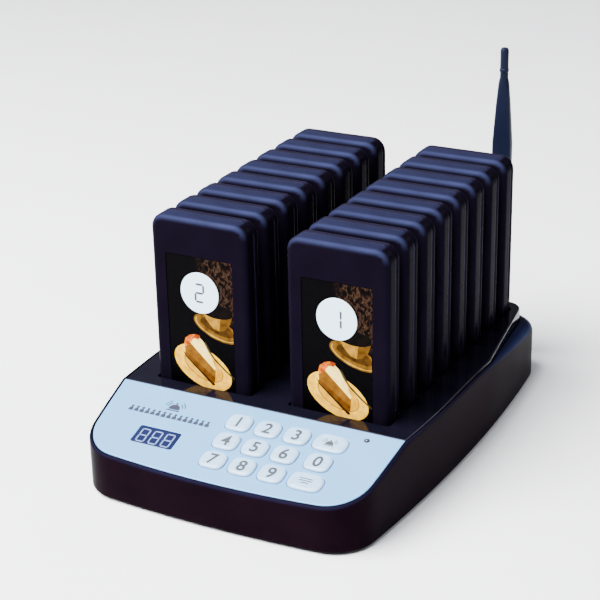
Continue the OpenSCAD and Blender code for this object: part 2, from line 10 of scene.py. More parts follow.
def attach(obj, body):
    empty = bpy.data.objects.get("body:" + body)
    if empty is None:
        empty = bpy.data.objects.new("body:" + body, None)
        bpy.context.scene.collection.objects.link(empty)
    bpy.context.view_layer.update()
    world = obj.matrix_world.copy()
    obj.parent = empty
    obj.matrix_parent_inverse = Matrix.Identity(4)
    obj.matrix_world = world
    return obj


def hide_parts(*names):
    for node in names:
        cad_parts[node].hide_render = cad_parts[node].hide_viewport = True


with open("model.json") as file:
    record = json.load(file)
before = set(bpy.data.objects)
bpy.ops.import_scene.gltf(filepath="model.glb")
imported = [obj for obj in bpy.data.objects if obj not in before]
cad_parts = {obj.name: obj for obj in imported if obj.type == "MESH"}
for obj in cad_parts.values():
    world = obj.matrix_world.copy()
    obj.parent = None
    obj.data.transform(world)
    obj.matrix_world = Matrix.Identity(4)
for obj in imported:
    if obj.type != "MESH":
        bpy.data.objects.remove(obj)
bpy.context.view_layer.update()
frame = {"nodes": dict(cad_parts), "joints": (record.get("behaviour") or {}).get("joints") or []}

# The guest pager set: charging base with keypad, sixteen upright pagers and an antenna.
# Lengths are in millimetres until a mesh is made. Front faces -Y, the feet stand on z = 0.

MM = 0.001
WELD = 0.002
SHARP_ANGLE = 35


# ---------- sizes taken from the CAD model ----------

def span(node, matrix=None):
    """Lowest and highest corner of a CAD node, in the frame that matrix describes."""
    inverse = (matrix or Matrix()).inverted()
    points = [inverse @ (v.co / MM) for v in frame["nodes"][node].data.vertices]
    lo = Vector([min(p[k] for p in points) for k in range(3)])
    hi = Vector([max(p[k] for p in points) for k in range(3)])
    return lo, hi


def middle(node, matrix=None):
    """Middle of a CAD node's box, in the frame that matrix describes."""
    return [(a + b) / 2 for a, b in zip(*span(node, matrix))]


case_lo, case_hi = span("upper_case")
deck_lo, deck_hi = span("charging_deck")

HALF_WIDTH = case_hi.x
Y_FRONT = case_lo.y
Y_REAR = case_hi.y
DECK_TOP = case_hi.z
CASE_BOTTOM = case_lo.z
Y_SPLIT = deck_lo.y
DECK_END = deck_hi.y
DECK_SIDE = deck_hi.x

# The case outline and its slopes
SIDE_RADIUS = 870
FRONT_RADIUS = 616
CORNER_RADIUS = 21
Y_MIDDLE = Y_FRONT + 114.5
Y_KNEE = Y_SPLIT + 73
REAR_HEIGHT = 28.5
TAPER_START = Y_SPLIT + 93
TAPER = 0.157
DECK_CORNER = 9
WALL = 2.2
LEDGE_Z = REAR_HEIGHT - 4
PANEL_INSET = 1.6
PANEL_GAP = 0.12
PANEL_THICK = 2
DECK_GAP = 0.15
DECK_PLATE = 2.4

press = next(j for j in frame["joints"] if j["name"] == "key_0_press")
TILT = math.atan2(press["axis"][1], -press["axis"][2])
PANEL = Matrix.Translation((0, Y_SPLIT, DECK_TOP)) @ Matrix.Rotation(TILT, 4, "X")

# Pagers
PAGER_COUNT = 16
front_lo, front_hi = span("pager_01_front_shell")
back_hi = span("pager_01_back_shell")[1]
card_lo, card_hi = span("pager_01_card")
disc_lo, disc_hi = span("pager_01_disc")
PAGER_W = front_hi.x - front_lo.x
PAGER_H = front_hi.z - front_lo.z
PAGER_T = back_hi.y - front_lo.y
SHELL_DEPTH = front_hi.y - front_lo.y
SHELL_WALL = 1.6
SEAM = 0.2
PAGER_CORNER = 7
FRONT_ROUND = 3.1
BACK_ROUND = 2.0
CARD_W = card_hi.x - card_lo.x
CARD_H = card_hi.z - card_lo.z
CARD_MID = (card_lo.z + card_hi.z) / 2 - front_lo.z
DISC_R = (disc_hi.x - disc_lo.x) / 2
DISC_Z = (disc_lo.z + disc_hi.z) / 2 - front_lo.z
PIN_GAP = 24


def pager_place(i):
    """Bottom middle of the front face of pager i."""
    node = "pager_01_front_shell" if i == 1 else f"pager_{i:02d}"
    lo, hi = span(node)
    return Vector(((lo.x + hi.x) / 2, lo.y, lo.z))


# ---------- gathering shapes ----------

class Shape:
    """Vertices and faces gathered before they become one mesh."""

    def __init__(self):
        self.verts = []
        self.faces = []
        self.flat = []
        self.slots = []

    def add(self, verts, faces, flat=False, slot=0):
        """Takes on faces over new vertices. Flat faces are not shaded smooth."""
        base = len(self.verts)
        self.verts += [Vector(v) for v in verts]
        self.faces += [[base + k for k in face] for face in faces]
        self.flat += [flat] * len(faces)
        self.slots += [slot] * len(faces)

    def loft(self, loops, closed=False, cap_start=False, cap_end=False, slot=0):
        """Skin over loops with the same number of points."""
        n = len(loops[0])
        rows = len(loops)
        faces = []
        for r in range(rows if closed else rows - 1):
            a, b = r * n, (r + 1) % rows * n
            faces += [[a + k, a + (k + 1) % n, b + (k + 1) % n, b + k] for k in range(n)]
        self.add([p for loop in loops for p in loop], faces, slot=slot)
        if cap_start:
            self.region([loops[0]], slot)
        if cap_end:
            self.region([loops[-1]], slot)

    def region(self, loops, slot=0):
        """Flat area inside the first loop and outside the others."""
        points = [Vector(p) for loop in loops for p in loop]
        triangles = tessellate_polygon([[Vector(p) for p in loop] for loop in loops])
        self.add(points, [list(t) for t in triangles], flat=True, slot=slot)

    def include(self, other, matrix):
        """Takes on another shape, placed by a matrix."""
        base = len(self.verts)
        self.verts += [matrix @ v for v in other.verts]
        self.faces += [[base + k for k in face] for face in other.faces]
        self.flat += other.flat
        self.slots += other.slots

    def mesh(self, name):
        """A mesh in metres with its double vertices welded."""
        mesh = bpy.data.meshes.new(name)
        mesh.from_pydata([v * MM for v in self.verts], [], self.faces)
        for polygon, flat, slot in zip(mesh.polygons, self.flat, self.slots):
            polygon.use_smooth = not flat
            polygon.material_index = slot
        welded = bmesh.new()
        welded.from_mesh(mesh)
        bmesh.ops.remove_doubles(welded, verts=welded.verts, dist=WELD * MM)
        bmesh.ops.recalc_face_normals(welded, faces=welded.faces)
        welded.to_mesh(mesh)
        welded.free()
        mark_sharp(mesh)
        return mesh


def capped(loops):
    """A skin over loops with both ends shut."""
    shape = Shape()
    shape.loft(loops, cap_start=True, cap_end=True)
    return shape


def new_object(name, data):
    """An object in the scene's own collection."""
    obj = bpy.data.objects.new(name, data)
    bpy.context.scene.collection.objects.link(obj)
    return obj


def mark_sharp(mesh):
    """Marks sharp edges and leaves flat faces flat."""
    smooth = [polygon.use_smooth for polygon in mesh.polygons]
    mesh.set_sharp_from_angle(angle=math.radians(SHARP_ANGLE))
    mesh.polygons.foreach_set("use_smooth", smooth)


def mark_rim(mesh, weight):
    """Stores how strongly each vertex carries a painted highlight on its rim, by a rule of its place in mm.
    """
    # The rim attribute holds the weights of the painted highlight.
    layer = mesh.attributes.new("rim", "FLOAT", "POINT")
    layer.data.foreach_set("value", [weight(v.co / MM) for v in mesh.vertices])
    return mesh


def on_fillet(drop, radius):
    """1 in the middle of a quarter round and 0 at its ends, from the drop below its top."""
    if not 0 < drop < radius:
        return 0.0
    return math.sin(2 * math.asin(1 - drop / radius))


def piece(name, shape, body, finish, nodes=(), at=None):
    """A visible piece that rides on a body and stands for CAD nodes. Finish names one or more."""
    mesh = shape if isinstance(shape, bpy.types.Mesh) else shape.mesh(name)
    if not mesh.materials:
        for key in [finish] if isinstance(finish, str) else finish:
            mesh.materials.append(MATERIALS[key])
    obj = new_object(name, mesh)
    if at is not None:
        obj.location = at * MM
        bpy.context.view_layer.update()
    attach(obj, body)
    if nodes:
        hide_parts(*nodes)
    return obj


def cut(shape, cutters, name):
    """The shape with closed cutters taken away."""
    objects = [new_object(f"{name}_cut_{k}", part.mesh(f"{name}_cut_{k}"))
               for k, part in enumerate([shape] + cutters)]
    for cutter in objects[1:]:
        modifier = objects[0].modifiers.new("cut", "BOOLEAN")
        modifier.operation = "DIFFERENCE"
        modifier.solver = "EXACT"
        modifier.object = cutter
    bpy.context.view_layer.update()
    evaluated = objects[0].evaluated_get(bpy.context.evaluated_depsgraph_get())
    mesh = bpy.data.meshes.new_from_object(evaluated)
    for obj in objects:
        bpy.data.objects.remove(obj)
    mesh.name = name
    mark_sharp(mesh)
    return mesh


# ---------- outlines ----------

def arc(cx, cy, r, start, end, steps):
    """Points of an arc, both ends included, angles in radians."""
    angles = [start + (end - start) * k / steps for k in range(steps + 1)]
    return [(cx + r * math.cos(a), cy + r * math.sin(a)) for a in angles]


def between(a, b, steps):
    return [a + (b - a) * k / steps for k in range(steps + 1)]


def mirrored(half):
    """Closed outline from its right half, which runs from front middle to rear middle."""
    return half + [(-x, y) for x, y in reversed(half[1:-1])]


def rounded(w, h, r, cx=0.0, cy=0.0, steps=6, mids=1):
    """Rectangle with round corners, with extra points along its sides."""
    a, b = w / 2 - r, h / 2 - r
    corners = [(a, -b, -90), (a, b, 0), (-a, b, 90), (-a, -b, 180)]
    points = []
    for x, y, angle in corners:
        turn = math.radians(angle)
        points += arc(cx + x, cy + y, r, turn, turn + math.pi / 2, steps)
    full = []
    for k, p in enumerate(points):
        full.append(p)
        if k % (steps + 1) == steps:
            q = points[(k + 1) % len(points)]
            for m in range(1, mids + 1):
                t = m / (mids + 1)
                full.append((p[0] + (q[0] - p[0]) * t, p[1] + (q[1] - p[1]) * t))
    return full


def circle(r, cx=0.0, cy=0.0, steps=32):
    return arc(cx, cy, r, 0, 2 * math.pi, steps)[:-1]


def pillow(w, h, cx=0.0, cy=0.0, power=3.2, steps=64):
    """Rectangle with gently bulging sides and soft corners."""
    points = []
    for k in range(steps):
        a = 2 * math.pi * k / steps
        c, s = math.cos(a), math.sin(a)
        x = math.copysign(abs(c) ** (2 / power), c)
        y = math.copysign(abs(s) ** (2 / power), s)
        points.append((cx + w / 2 * x, cy + h / 2 * y))
    return points


def side_centre():
    return Vector((HALF_WIDTH - SIDE_RADIUS, Y_MIDDLE))


def front_corner():
    """Centre of the front corner circle, one corner radius inside both arcs."""
    a = side_centre()
    b = Vector((0, Y_FRONT + FRONT_RADIUS))
    ra, rb = SIDE_RADIUS - CORNER_RADIUS, FRONT_RADIUS - CORNER_RADIUS
    d = (b - a).length
    t = (d * d + ra * ra - rb * rb) / (2 * d)
    u = (b - a) / d
    side = Vector((u.y, -u.x)) * math.sqrt(ra * ra - t * t)
    return min(a + u * t + side, a + u * t - side, key=lambda p: p.y)


def rear_corner():
    y = Y_REAR - CORNER_RADIUS
    r = SIDE_RADIUS - CORNER_RADIUS
    return Vector((side_centre().x + math.sqrt(r * r - (y - Y_MIDDLE) ** 2), y))


def angle_from(centre, point):
    return math.atan2(point.y - centre.y, point.x - centre.x)


FRONT_STEPS = 14
CORNER_STEPS = 10
SPLIT_STEPS = 8
REAR_STEPS = 6
AHEAD = FRONT_STEPS + CORNER_STEPS + SPLIT_STEPS + 1


def side_stations():
    """Y along the side wall, from the front corner to the rear corner."""
    centre = side_centre()
    start = centre.y + SIDE_RADIUS * math.sin(angle_from(centre, front_corner()))
    end = centre.y + SIDE_RADIUS * math.sin(angle_from(centre, rear_corner()))
    return (between(start, Y_SPLIT, SPLIT_STEPS) + between(Y_SPLIT, Y_KNEE, 12)[1:]
            + between(Y_KNEE, TAPER_START, 4)[1:] + between(TAPER_START, end, 12)[1:])


STATIONS = side_stations()


def case_half(d):
    """Right half of the case outline moved in by d."""
    front = Vector((0, Y_FRONT + FRONT_RADIUS))
    corner, rear, side = front_corner(), rear_corner(), side_centre()
    a0 = angle_from(front, corner)
    a1, a2 = angle_from(side, corner), angle_from(side, rear)
    points = arc(front.x, front.y, FRONT_RADIUS - d, -math.pi / 2, a0, FRONT_STEPS)
    points += arc(corner.x, corner.y, CORNER_RADIUS - d, a0, a1, CORNER_STEPS)[1:-1]
    for y in STATIONS:
        a = math.asin((y - side.y) / SIDE_RADIUS)
        r = SIDE_RADIUS - d
        points.append((side.x + r * math.cos(a), side.y + r * math.sin(a)))
    points += arc(rear.x, rear.y, CORNER_RADIUS - d, a2, math.pi / 2, CORNER_STEPS)[1:]
    points += [(rear.x * (1 - k / REAR_STEPS), Y_REAR - d) for k in range(1, REAR_STEPS + 1)]
    return points


def case_x(y, d):
    """Half width of the case at y, moved in by d."""
    side = side_centre()
    r = SIDE_RADIUS - d
    return side.x + math.sqrt(r * r - (y - side.y) ** 2)


def deck_x(y, d):
    straight = DECK_SIDE - d - TAPER * max(0, y - TAPER_START)
    return min(straight, case_x(y, PANEL_INSET + d))


def deck_rear(d):
    """Sides from the panel back, round corner and rear edge of the raised deck."""
    lean = math.atan(TAPER)
    edge = DECK_SIDE - TAPER * (DECK_END - TAPER_START)
    cx = edge - DECK_CORNER * (math.sqrt(1 + TAPER * TAPER) - TAPER)
    cy = DECK_END - DECK_CORNER
    last = cy + DECK_CORNER * math.sin(lean)
    ys = [y for y in STATIONS[SPLIT_STEPS + 1:] if y <= TAPER_START + 0.01]
    ys += between(TAPER_START, last, 12)[1:-1]
    points = [(deck_x(y, d), y) for y in ys]
    points += arc(cx, cy, DECK_CORNER - d, lean, math.pi / 2, CORNER_STEPS)
    points += [(cx * (1 - k / REAR_STEPS), DECK_END - d) for k in range(1, REAR_STEPS + 1)]
    return points


def opening_half(grow):
    """Edge of the openings for panel and deck, in step with case_half."""
    return case_half(PANEL_INSET - grow)[:AHEAD] + deck_rear(-DECK_GAP - grow)


def deck_half(d):
    x = deck_x(Y_SPLIT, d)
    front = [(x * k / REAR_STEPS, Y_SPLIT + d) for k in range(REAR_STEPS + 1)]
    return front + deck_rear(d)


def panel_half(d):
    """Outline of the sloped panel, seen from above."""
    inset = PANEL_INSET + PANEL_GAP + d
    points = [(x, y) for x, y in case_half(inset)[:AHEAD] if y < Y_SPLIT - 1]
    x = case_x(Y_SPLIT, inset)
    return points + [(x * (1 - k / REAR_STEPS), Y_SPLIT - 0.1 - d) for k in range(REAR_STEPS + 1)]


# ---------- the case ----------

def top_z(y):
    """Height of the case top: sloped panel, flat deck edge, then falling to the rear."""
    panel = DECK_TOP + (y - Y_SPLIT) * math.tan(TILT)
    fall = (DECK_TOP - REAR_HEIGHT) / (Y_REAR - Y_KNEE)
    rear = DECK_TOP - (y - Y_KNEE) * fall
    return min(panel, DECK_TOP, rear)


def edge_radius(y):
    """Rounding of the top edge, which grows towards the rear."""
    t = min(1, max(0, (y - Y_KNEE) / (DECK_END - Y_KNEE)))
    return 1.3 + 3.2 * t * t * (3 - 2 * t)


def seat_z(y, under_panel, under_deck):
    """Height of the seat below the panel, or below the deck behind it."""
    return top_z(y) - PANEL_THICK - under_panel if y < Y_SPLIT + 1 else LEDGE_Z - under_deck


def case_edge(outline, steps):
    """Loops of the rounded top edge, whose radius changes along the case."""
    loops = []
    for k in range(1, steps + 1):
        a = math.pi / 2 * k / steps
        loop = []
        rings = {}
        for index, (_, yo) in enumerate(outline):
            r = edge_radius(yo)
            d = r * (1 - math.cos(a))
            if d not in rings:
                rings[d] = mirrored(case_half(d))
            x, y = rings[d][index]
            loop.append((x, y, top_z(y) - r * (1 - math.sin(a))))
        loops.append(loop)
    return loops


def case_shell():
    """Rounded wall, shoulder and the step down into the openings, as one closed skin."""
    outline = mirrored(case_half(0))
    foot = 1.2
    loops = [[(x, y, CASE_BOTTOM + z) for x, y in mirrored(case_half(d))]
             for d, z in ((WALL, 0), (1.0, 0), (0.3, 0.25), (0.0, 0.9), (0.0, foot))]
    for share in (0.33, 0.66, 0.97, 1.0):
        loops.append([(x, y, CASE_BOTTOM + foot + share * (top_z(y) - edge_radius(y) - CASE_BOTTOM - foot))
                      for x, y in outline])
    loops += case_edge(outline, 7)
    for grow, drop in ((0.5, 0.0), (0.25, 0.0), (0.0, 0.25)):
        loops.append([(x, y, top_z(y) - drop) for x, y in mirrored(opening_half(grow))])
    for grow, under_panel, under_deck in ((0, 0.1, 0), (-1.9, 0.1, 0), (-1.9, 2, 2)):
        loops.append([(x, y, seat_z(y, under_panel, under_deck)) for x, y in mirrored(opening_half(grow))])
    loops.append([(x, y, CASE_BOTTOM + 4) for x, y in mirrored(case_half(WALL))])
    shape = Shape()
    shape.loft(loops, closed=True)
    return shape


def case_rim(p):
    """Painted highlight weight of the case: along the top edge, and brightest on the right shoulder, with a
    painted sheen on the flat top beside it.
    """
    drop = top_z(p.y) - p.z
    start = min(1, max(0, (p.y - 5) / 60))
    end = min(1, max(0, (Y_REAR - p.y) / CORNER_RADIUS))
    # Painted light: only the right side gets the bright shoulder highlight, fading in from the front and
    # out at the rear corner.
    lit = 0.75 * start * end if p.x > 0 else 0.0
    flat = 0.5 * lit if drop < 0.05 else 0.0
    return max(on_fillet(drop, edge_radius(p.y)) * (0.16 + 0.84 * lit), flat)


def tube(r, start, end, steps=48):
    """Closed cylinder between two points."""
    start, end = Vector(start), Vector(end)
    turn = (end - start).to_track_quat("Z", "Y").to_matrix()
    ring = [turn @ Vector((x, y, 0)) for x, y in circle(r, steps=steps)]
    return capped([[start + p for p in ring], [end + p for p in ring]])


def block(lo, hi):
    """Closed box between two corners."""
    ring = [(lo[0], lo[1]), (hi[0], lo[1]), (hi[0], hi[1]), (lo[0], hi[1])]
    return capped([[(x, y, z) for x, y in ring] for z in (lo[2], hi[2])])


JACK_HOLE = 4.1
SOCKET_HOLE = 3.3
SWITCH_LIP = 0.9


def rear_cutters():
    """Holes in the rear wall for the power inlet, switch and antenna socket."""
    inner, outer = Y_REAR - 6, Y_REAR + 6
    holes = []
    for node, r in (("dc_inlet", JACK_HOLE), ("antenna_connector", SOCKET_HOLE)):
        x, _, z = middle(node)
        holes.append(tube(r, (x, inner, z), (x, outer, z)))
    lo, hi = span("switch_frame")
    holes.append(block((lo.x + SWITCH_LIP, inner, lo.z + SWITCH_LIP),
                       (hi.x - SWITCH_LIP, outer, hi.z - SWITCH_LIP)))
    return holes


# ---------- the deck ----------

SLOT_PLAY = 0.45
SLOT_LIP = 0.45
CUP_WALL = 1.2
CUP_FLOOR = 1.4
PIN_HOLE = 1.3


def slot_outline(grow):
    """Outline of a pager slot round the middle of its opening."""
    w = PAGER_W + 2 * (SLOT_PLAY + grow)
    h = PAGER_T + 2 * (SLOT_PLAY + grow)
    return rounded(w, h, 1.6 + grow, 0, PAGER_T / 2, steps=4, mids=0)


def flat_loop(points, z, at=(0, 0)):
    return [(x + at[0], y + at[1], z) for x, y in points]


def fillet(radius, steps):
    """Pairs of inset and drop along a quarter round, from wall to top."""
    angles = [math.pi / 2 * k / steps for k in range(steps + 1)]
    return [(radius * (1 - math.cos(a)), radius * (1 - math.sin(a))) for a in angles]


def add_cup(shape, place):
    """Adds one slot to the deck: soft lip, walls, floor with two pin holes, and the outside."""
    low = place.z - CUP_FLOOR
    walls = [flat_loop(slot_outline(SLOT_LIP * d), DECK_TOP - SLOT_LIP * drop, place)
             for d, drop in ((1, 0), (0.62, 0.08), (0.3, 0.3), (0.08, 0.62), (0, 1))]
    walls.append(flat_loop(slot_outline(0), place.z, place))
    shape.loft(walls)
    outer = [flat_loop(slot_outline(CUP_WALL), z, place) for z in (DECK_TOP - DECK_PLATE, low)]
    shape.loft(outer)
    pins = [(place.x + side * PIN_GAP / 2, place.y + PAGER_T / 2) for side in (-1, 1)]
    tops = [flat_loop(circle(PIN_HOLE, steps=16), place.z, pin) for pin in pins]
    bottoms = [flat_loop(circle(PIN_HOLE, steps=16), low, pin) for pin in pins]
    shape.region([walls[-1]] + tops)
    shape.region([outer[-1]] + bottoms)
    for a, b in zip(tops, bottoms):
        shape.loft([a, b])


def deck_shell():
    """Flat deck with sixteen slots, each a cup with pin holes in its floor."""
    shape = Shape()
    places = [pager_place(i) for i in range(1, PAGER_COUNT + 1)]
    rim = [flat_loop(mirrored(deck_half(1.8)), DECK_TOP - DECK_PLATE),
           flat_loop(mirrored(deck_half(1.8)), LEDGE_Z),
           flat_loop(mirrored(deck_half(0)), LEDGE_Z)]
    rim += [flat_loop(mirrored(deck_half(d)), DECK_TOP - drop) for d, drop in fillet(0.8, 5)]
    shape.loft(rim)
    top_holes = [flat_loop(slot_outline(SLOT_LIP), DECK_TOP, p) for p in places]
    under_holes = [flat_loop(slot_outline(CUP_WALL), DECK_TOP - DECK_PLATE, p) for p in places]
    shape.region([rim[-1]] + top_holes)
    shape.region([rim[0]] + under_holes)
    for place in places:
        add_cup(shape, place)
    return shape


# ---------- panel, keys and display ----------

KEYS = {name: span(f"key_{name}", PANEL) for name in list("0123456789") + ["call", "function"]}
FLANGE = 0.6
FLANGE_THICK = 0.8
LAMP_HOLE = 1.35
LENS_SEAT = 1.3


def key_size(name):
    lo, hi = KEYS[name]
    centre = ((lo.x + hi.x) / 2, (lo.y + hi.y) / 2)
    return centre, hi.x - lo.x - 2 * FLANGE, hi.y - lo.y - 2 * FLANGE


def on_panel(points, w):
    return [PANEL @ Vector((x, y, w)) for x, y in points]


def panel_outline(d):
    """Panel outline in the panel's own plane."""
    return [(x, (y - Y_SPLIT) / math.cos(TILT)) for x, y in mirrored(panel_half(d))]


def key_hole(name, grow):
    centre, w, h = key_size(name)
    return pillow(w + 2 * grow, h + 2 * grow, *centre)


def panel_shell():
    """Metal-finish panel with softly rolled edges round every key."""
    lens_lo, lens_hi = span("display_lens", PANEL)
    window = middle("display_lens", PANEL)[:2]
    lamp = middle("status_lamp", PANEL)[:2]
    size = (lens_hi.x - lens_lo.x, lens_hi.y - lens_lo.y)
    soft = 0.3
    shift = -PANEL_THICK * math.tan(TILT)
    shape = Shape()
    rim = [on_panel([(x, y + shift) for x, y in panel_outline(0)], -PANEL_THICK)]
    rim += [on_panel(panel_outline(d), -drop) for d, drop in fillet(0.4, 4)]
    shape.loft(rim)

    def well(outline, edge, depth):
        loops = [on_panel(outline(d), -drop)
                 for d, drop in ((edge, 0), (edge * 0.3, edge * 0.3), (0, edge))]
        loops.append(on_panel(outline(0), -depth))
        shape.loft(loops)
        return loops

    wells = [well(lambda g, n=n: key_hole(n, 0.2 + g), soft, PANEL_THICK) for n in KEYS]
    wells.append(well(lambda g: circle(LAMP_HOLE + g, *lamp, steps=24), soft / 2, PANEL_THICK))
    step = well(lambda g: rounded(size[0] + 0.2 + 2 * g, size[1] + 0.2 + 2 * g, 1.1 + g, *window),
                soft / 2, LENS_SEAT)
    inner = [on_panel(rounded(size[0] - 2, size[1] - 2, 0.6, *window), -w)
             for w in (LENS_SEAT, PANEL_THICK)]
    shape.region([step[-1], inner[0]])
    shape.loft(inner)
    shape.region([rim[-1], step[0]] + [w[0] for w in wells])
    shape.region([rim[0], inner[1]] + [w[-1] for w in wells])
    return shape


KEY_DOME = 150


def key_top(x, y, edge):
    """Height of a key cap: a shallow dome whose edge rolls down. Edge is 0 inside, 1 at the rim."""
    rise = KEYS["5"][1].z
    roll = 1 - math.sqrt(max(0, 1 - edge * edge))
    return rise - (x * x + y * y) / (2 * KEY_DOME) - 1.0 * roll


def key_cap(name):
    """Pillow-shaped cap with a flange below the panel."""
    centre, w, h = key_size(name)
    lo = KEYS[name][0]
    roll_start = 0.74
    loops = []

    def ring(scale, z=None):
        points = []
        for x, y in pillow(w * scale, h * scale):
            edge = max(0, (scale - roll_start) / (1 - roll_start))
            height = key_top(x, y, edge) if z is None else z
            points.append(PANEL @ Vector((x + centre[0], y + centre[1], height)))
        return points

    flange = 1 + 2 * FLANGE / w
    top = lo.z + FLANGE_THICK
    for scale, z in ((0.8, lo.z), (flange, lo.z), (flange, top), (1.0, top), (1.0, -0.9)):
        loops.append(ring(scale, z))
    for scale in (1.0, 0.995, 0.98, 0.955, 0.92, 0.87, 0.81, 0.74, 0.6, 0.42, 0.24, 0.08):
        loops.append(ring(scale))
    shape = Shape()
    shape.loft(loops)
    shape.add(loops[-1], [list(range(len(loops[-1])))])
    shape.add(loops[0], [list(range(len(loops[0])))])
    return shape


def glyph_points(text, size, slant, weight):
    """Flat mesh of a digit, centred: its points and faces."""
    curve = bpy.data.curves.new("glyph", "FONT")
    curve.body = text
    curve.size = size
    curve.shear = slant
    curve.offset = weight
    curve.extrude = 0.02
    curve.resolution_u = 6
    obj = new_object("glyph", curve)
    bpy.context.view_layer.update()
    evaluated = obj.evaluated_get(bpy.context.evaluated_depsgraph_get())
    mesh = bpy.data.meshes.new_from_object(evaluated)
    points = [v.co.copy() for v in mesh.vertices]
    faces = [list(p.vertices) for p in mesh.polygons]
    bpy.data.objects.remove(obj)
    bpy.data.meshes.remove(mesh)
    middle = [(min(p[k] for p in points) + max(p[k] for p in points)) / 2 for k in (0, 1)]
    return [Vector((p.x - middle[0], p.y - middle[1], p.z)) for p in points], faces


def on_key(name, points):
    """Points laid on the dome of a key, a hair above it."""
    centre = key_size(name)[0]
    laid = []
    for p in points:
        z = key_top(p.x, p.y, 0) + 0.04 + p.z
        laid.append(PANEL @ Vector((p.x + centre[0], p.y + centre[1], z)))
    return laid


def digit_mark(name):
    points, faces = glyph_points(name, size=8.6, slant=0.04, weight=0.19)
    shape = Shape()
    shape.add(on_key(name, points), faces, flat=True)
    return shape


def thick(outline, low=-0.02, high=0.02):
    """Thin closed plate over a flat outline."""
    return capped([[Vector((x, y, z)) for x, y in outline] for z in (low, high)])


def bell_outline(size):
    """Side view of a counter bell: half round dome on a flat base."""
    dome = arc(0, -0.25 * size, 0.42 * size, 0, math.pi, 20)
    base = [(-0.42 * size, -0.32 * size), (0.42 * size, -0.32 * size)]
    return dome + base


def bell_parts(size):
    """Dome, knob, foot and two pairs of sound arcs."""
    foot = rounded(1.05 * size, 0.1 * size, 0.045 * size, 0, -0.42 * size, steps=4)
    knob = circle(0.09 * size, 0, 0.27 * size, steps=16)
    parts = [bell_outline(size), foot, knob]
    for r in (0.62, 0.82):
        for middle in (35, 145):
            a, b = math.radians(middle - 22), math.radians(middle + 22)
            outer = arc(0, -0.22 * size, r * size, a, b, 10)
            inner = arc(0, -0.22 * size, (r - 0.07) * size, b, a, 10)
            parts.append(outer + inner)
    return parts


def icon_mark(name, parts):
    """Small printed icon on a key."""
    shape = Shape()
    for outline in parts:
        flat = thick(outline)
        shape.add(on_key(name, flat.verts), flat.faces, flat=True)
    return shape


def menu_parts(size):
    """Three rounded bars."""
    return [rounded(size * w, size * 0.13, size * 0.06, 0, size * y, steps=4)
            for w, y in ((1.5, 0.3), (1.5, 0.0), (0.9, -0.3))]


def panel_print(parts, centre):
    """Printed mark lying on the panel."""
    shape = Shape()
    for outline in parts:
        flat = thick([(x + centre[0], y + centre[1]) for x, y in outline], 0.0, 0.03)
        shape.include(flat, PANEL)
    return shape


def queue_parts(count, step):
    """A row of waiting figures: a round head above a round-shouldered body."""
    parts = []
    for k in range(count):
        x = (k - (count - 1) / 2) * step
        parts.append(circle(0.72, x, 1.3, steps=16))
        body = arc(x, -0.55, 1.15, 0, math.pi, 12) + [(x - 1.15, -1.6), (x + 1.15, -1.6)]
        parts.append(body)
    return parts


def segment_outlines(w, h, t, on):
    """Lit bars of a seven-bar digit of width w, height h and bar thickness t, pointed at both ends."""
    gap = 0.1
    bars = {
        "a": (0, h / 2, w, True), "g": (0, 0, w, True), "d": (0, -h / 2, w, True),
        "f": (-w / 2, h / 4, h / 2, False), "b": (w / 2, h / 4, h / 2, False),
        "e": (-w / 2, -h / 4, h / 2, False), "c": (w / 2, -h / 4, h / 2, False),
    }
    outlines = []
    for key in on:
        cx, cy, length, level = bars[key]
        a, b = length / 2 - gap, t / 2
        bar = [(-a, 0), (-a + b, -b), (a - b, -b), (a, 0), (a - b, b), (-a + b, b)]
        if not level:
            bar = [(y, x) for x, y in bar]
        outlines.append([(cx + x, cy + y) for x, y in bar])
    return outlines


def display_lens():
    """Flush window with a soft edge."""
    lo, hi = span("display_lens", PANEL)
    cx, cy, _ = middle("display_lens", PANEL)
    w, h = hi.x - lo.x, hi.y - lo.y
    loops = [on_panel(rounded(w, h, 1, cx, cy), lo.z)]
    loops += [on_panel(rounded(w - 2 * d, h - 2 * d, 1 - d, cx, cy), hi.z - drop)
              for d, drop in fillet(0.15, 3)]
    return capped(loops)


def display_digits():
    """Three lit digits just under the window."""
    top = span("display_lens", PANEL)[1].z
    cx, cy, _ = middle("display_lens", PANEL)
    pitch, lower = 6.5, 0.5
    shape = Shape()
    for k in (-1, 0, 1):
        for outline in segment_outlines(4.0, 7.8, 0.62, "abcdefg"):
            moved = [(x + cx + k * pitch, y + cy - lower) for x, y in outline]
            shape.include(thick(moved, top + 0.005, top + 0.03), PANEL)
    return shape


# ---------- pagers ----------

def pager_ring(inset, y):
    """Outline of a pager at depth y, moved in by inset."""
    points = rounded(PAGER_W - 2 * inset, PAGER_H - 2 * inset, max(PAGER_CORNER - inset, 0.6),
                     0, PAGER_H / 2, steps=10, mids=3)
    return [(x, y, z) for x, z in points]


def card_ring(grow, y):
    points = rounded(CARD_W + 2 * grow, CARD_H + 2 * grow, 0.3 + max(grow, 0), 0, CARD_MID,
                     steps=10, mids=3)
    return [(x, y, z) for x, z in points]


def contact_cutters():
    """Pockets for the two charging contacts in the foot of a pager."""
    y = PAGER_T / 2
    return [block((x - 2.7, y - 2.1, -1), (x + 2.7, y + 1.6, 1.9)) for x in (-PIN_GAP / 2, PIN_GAP / 2)]


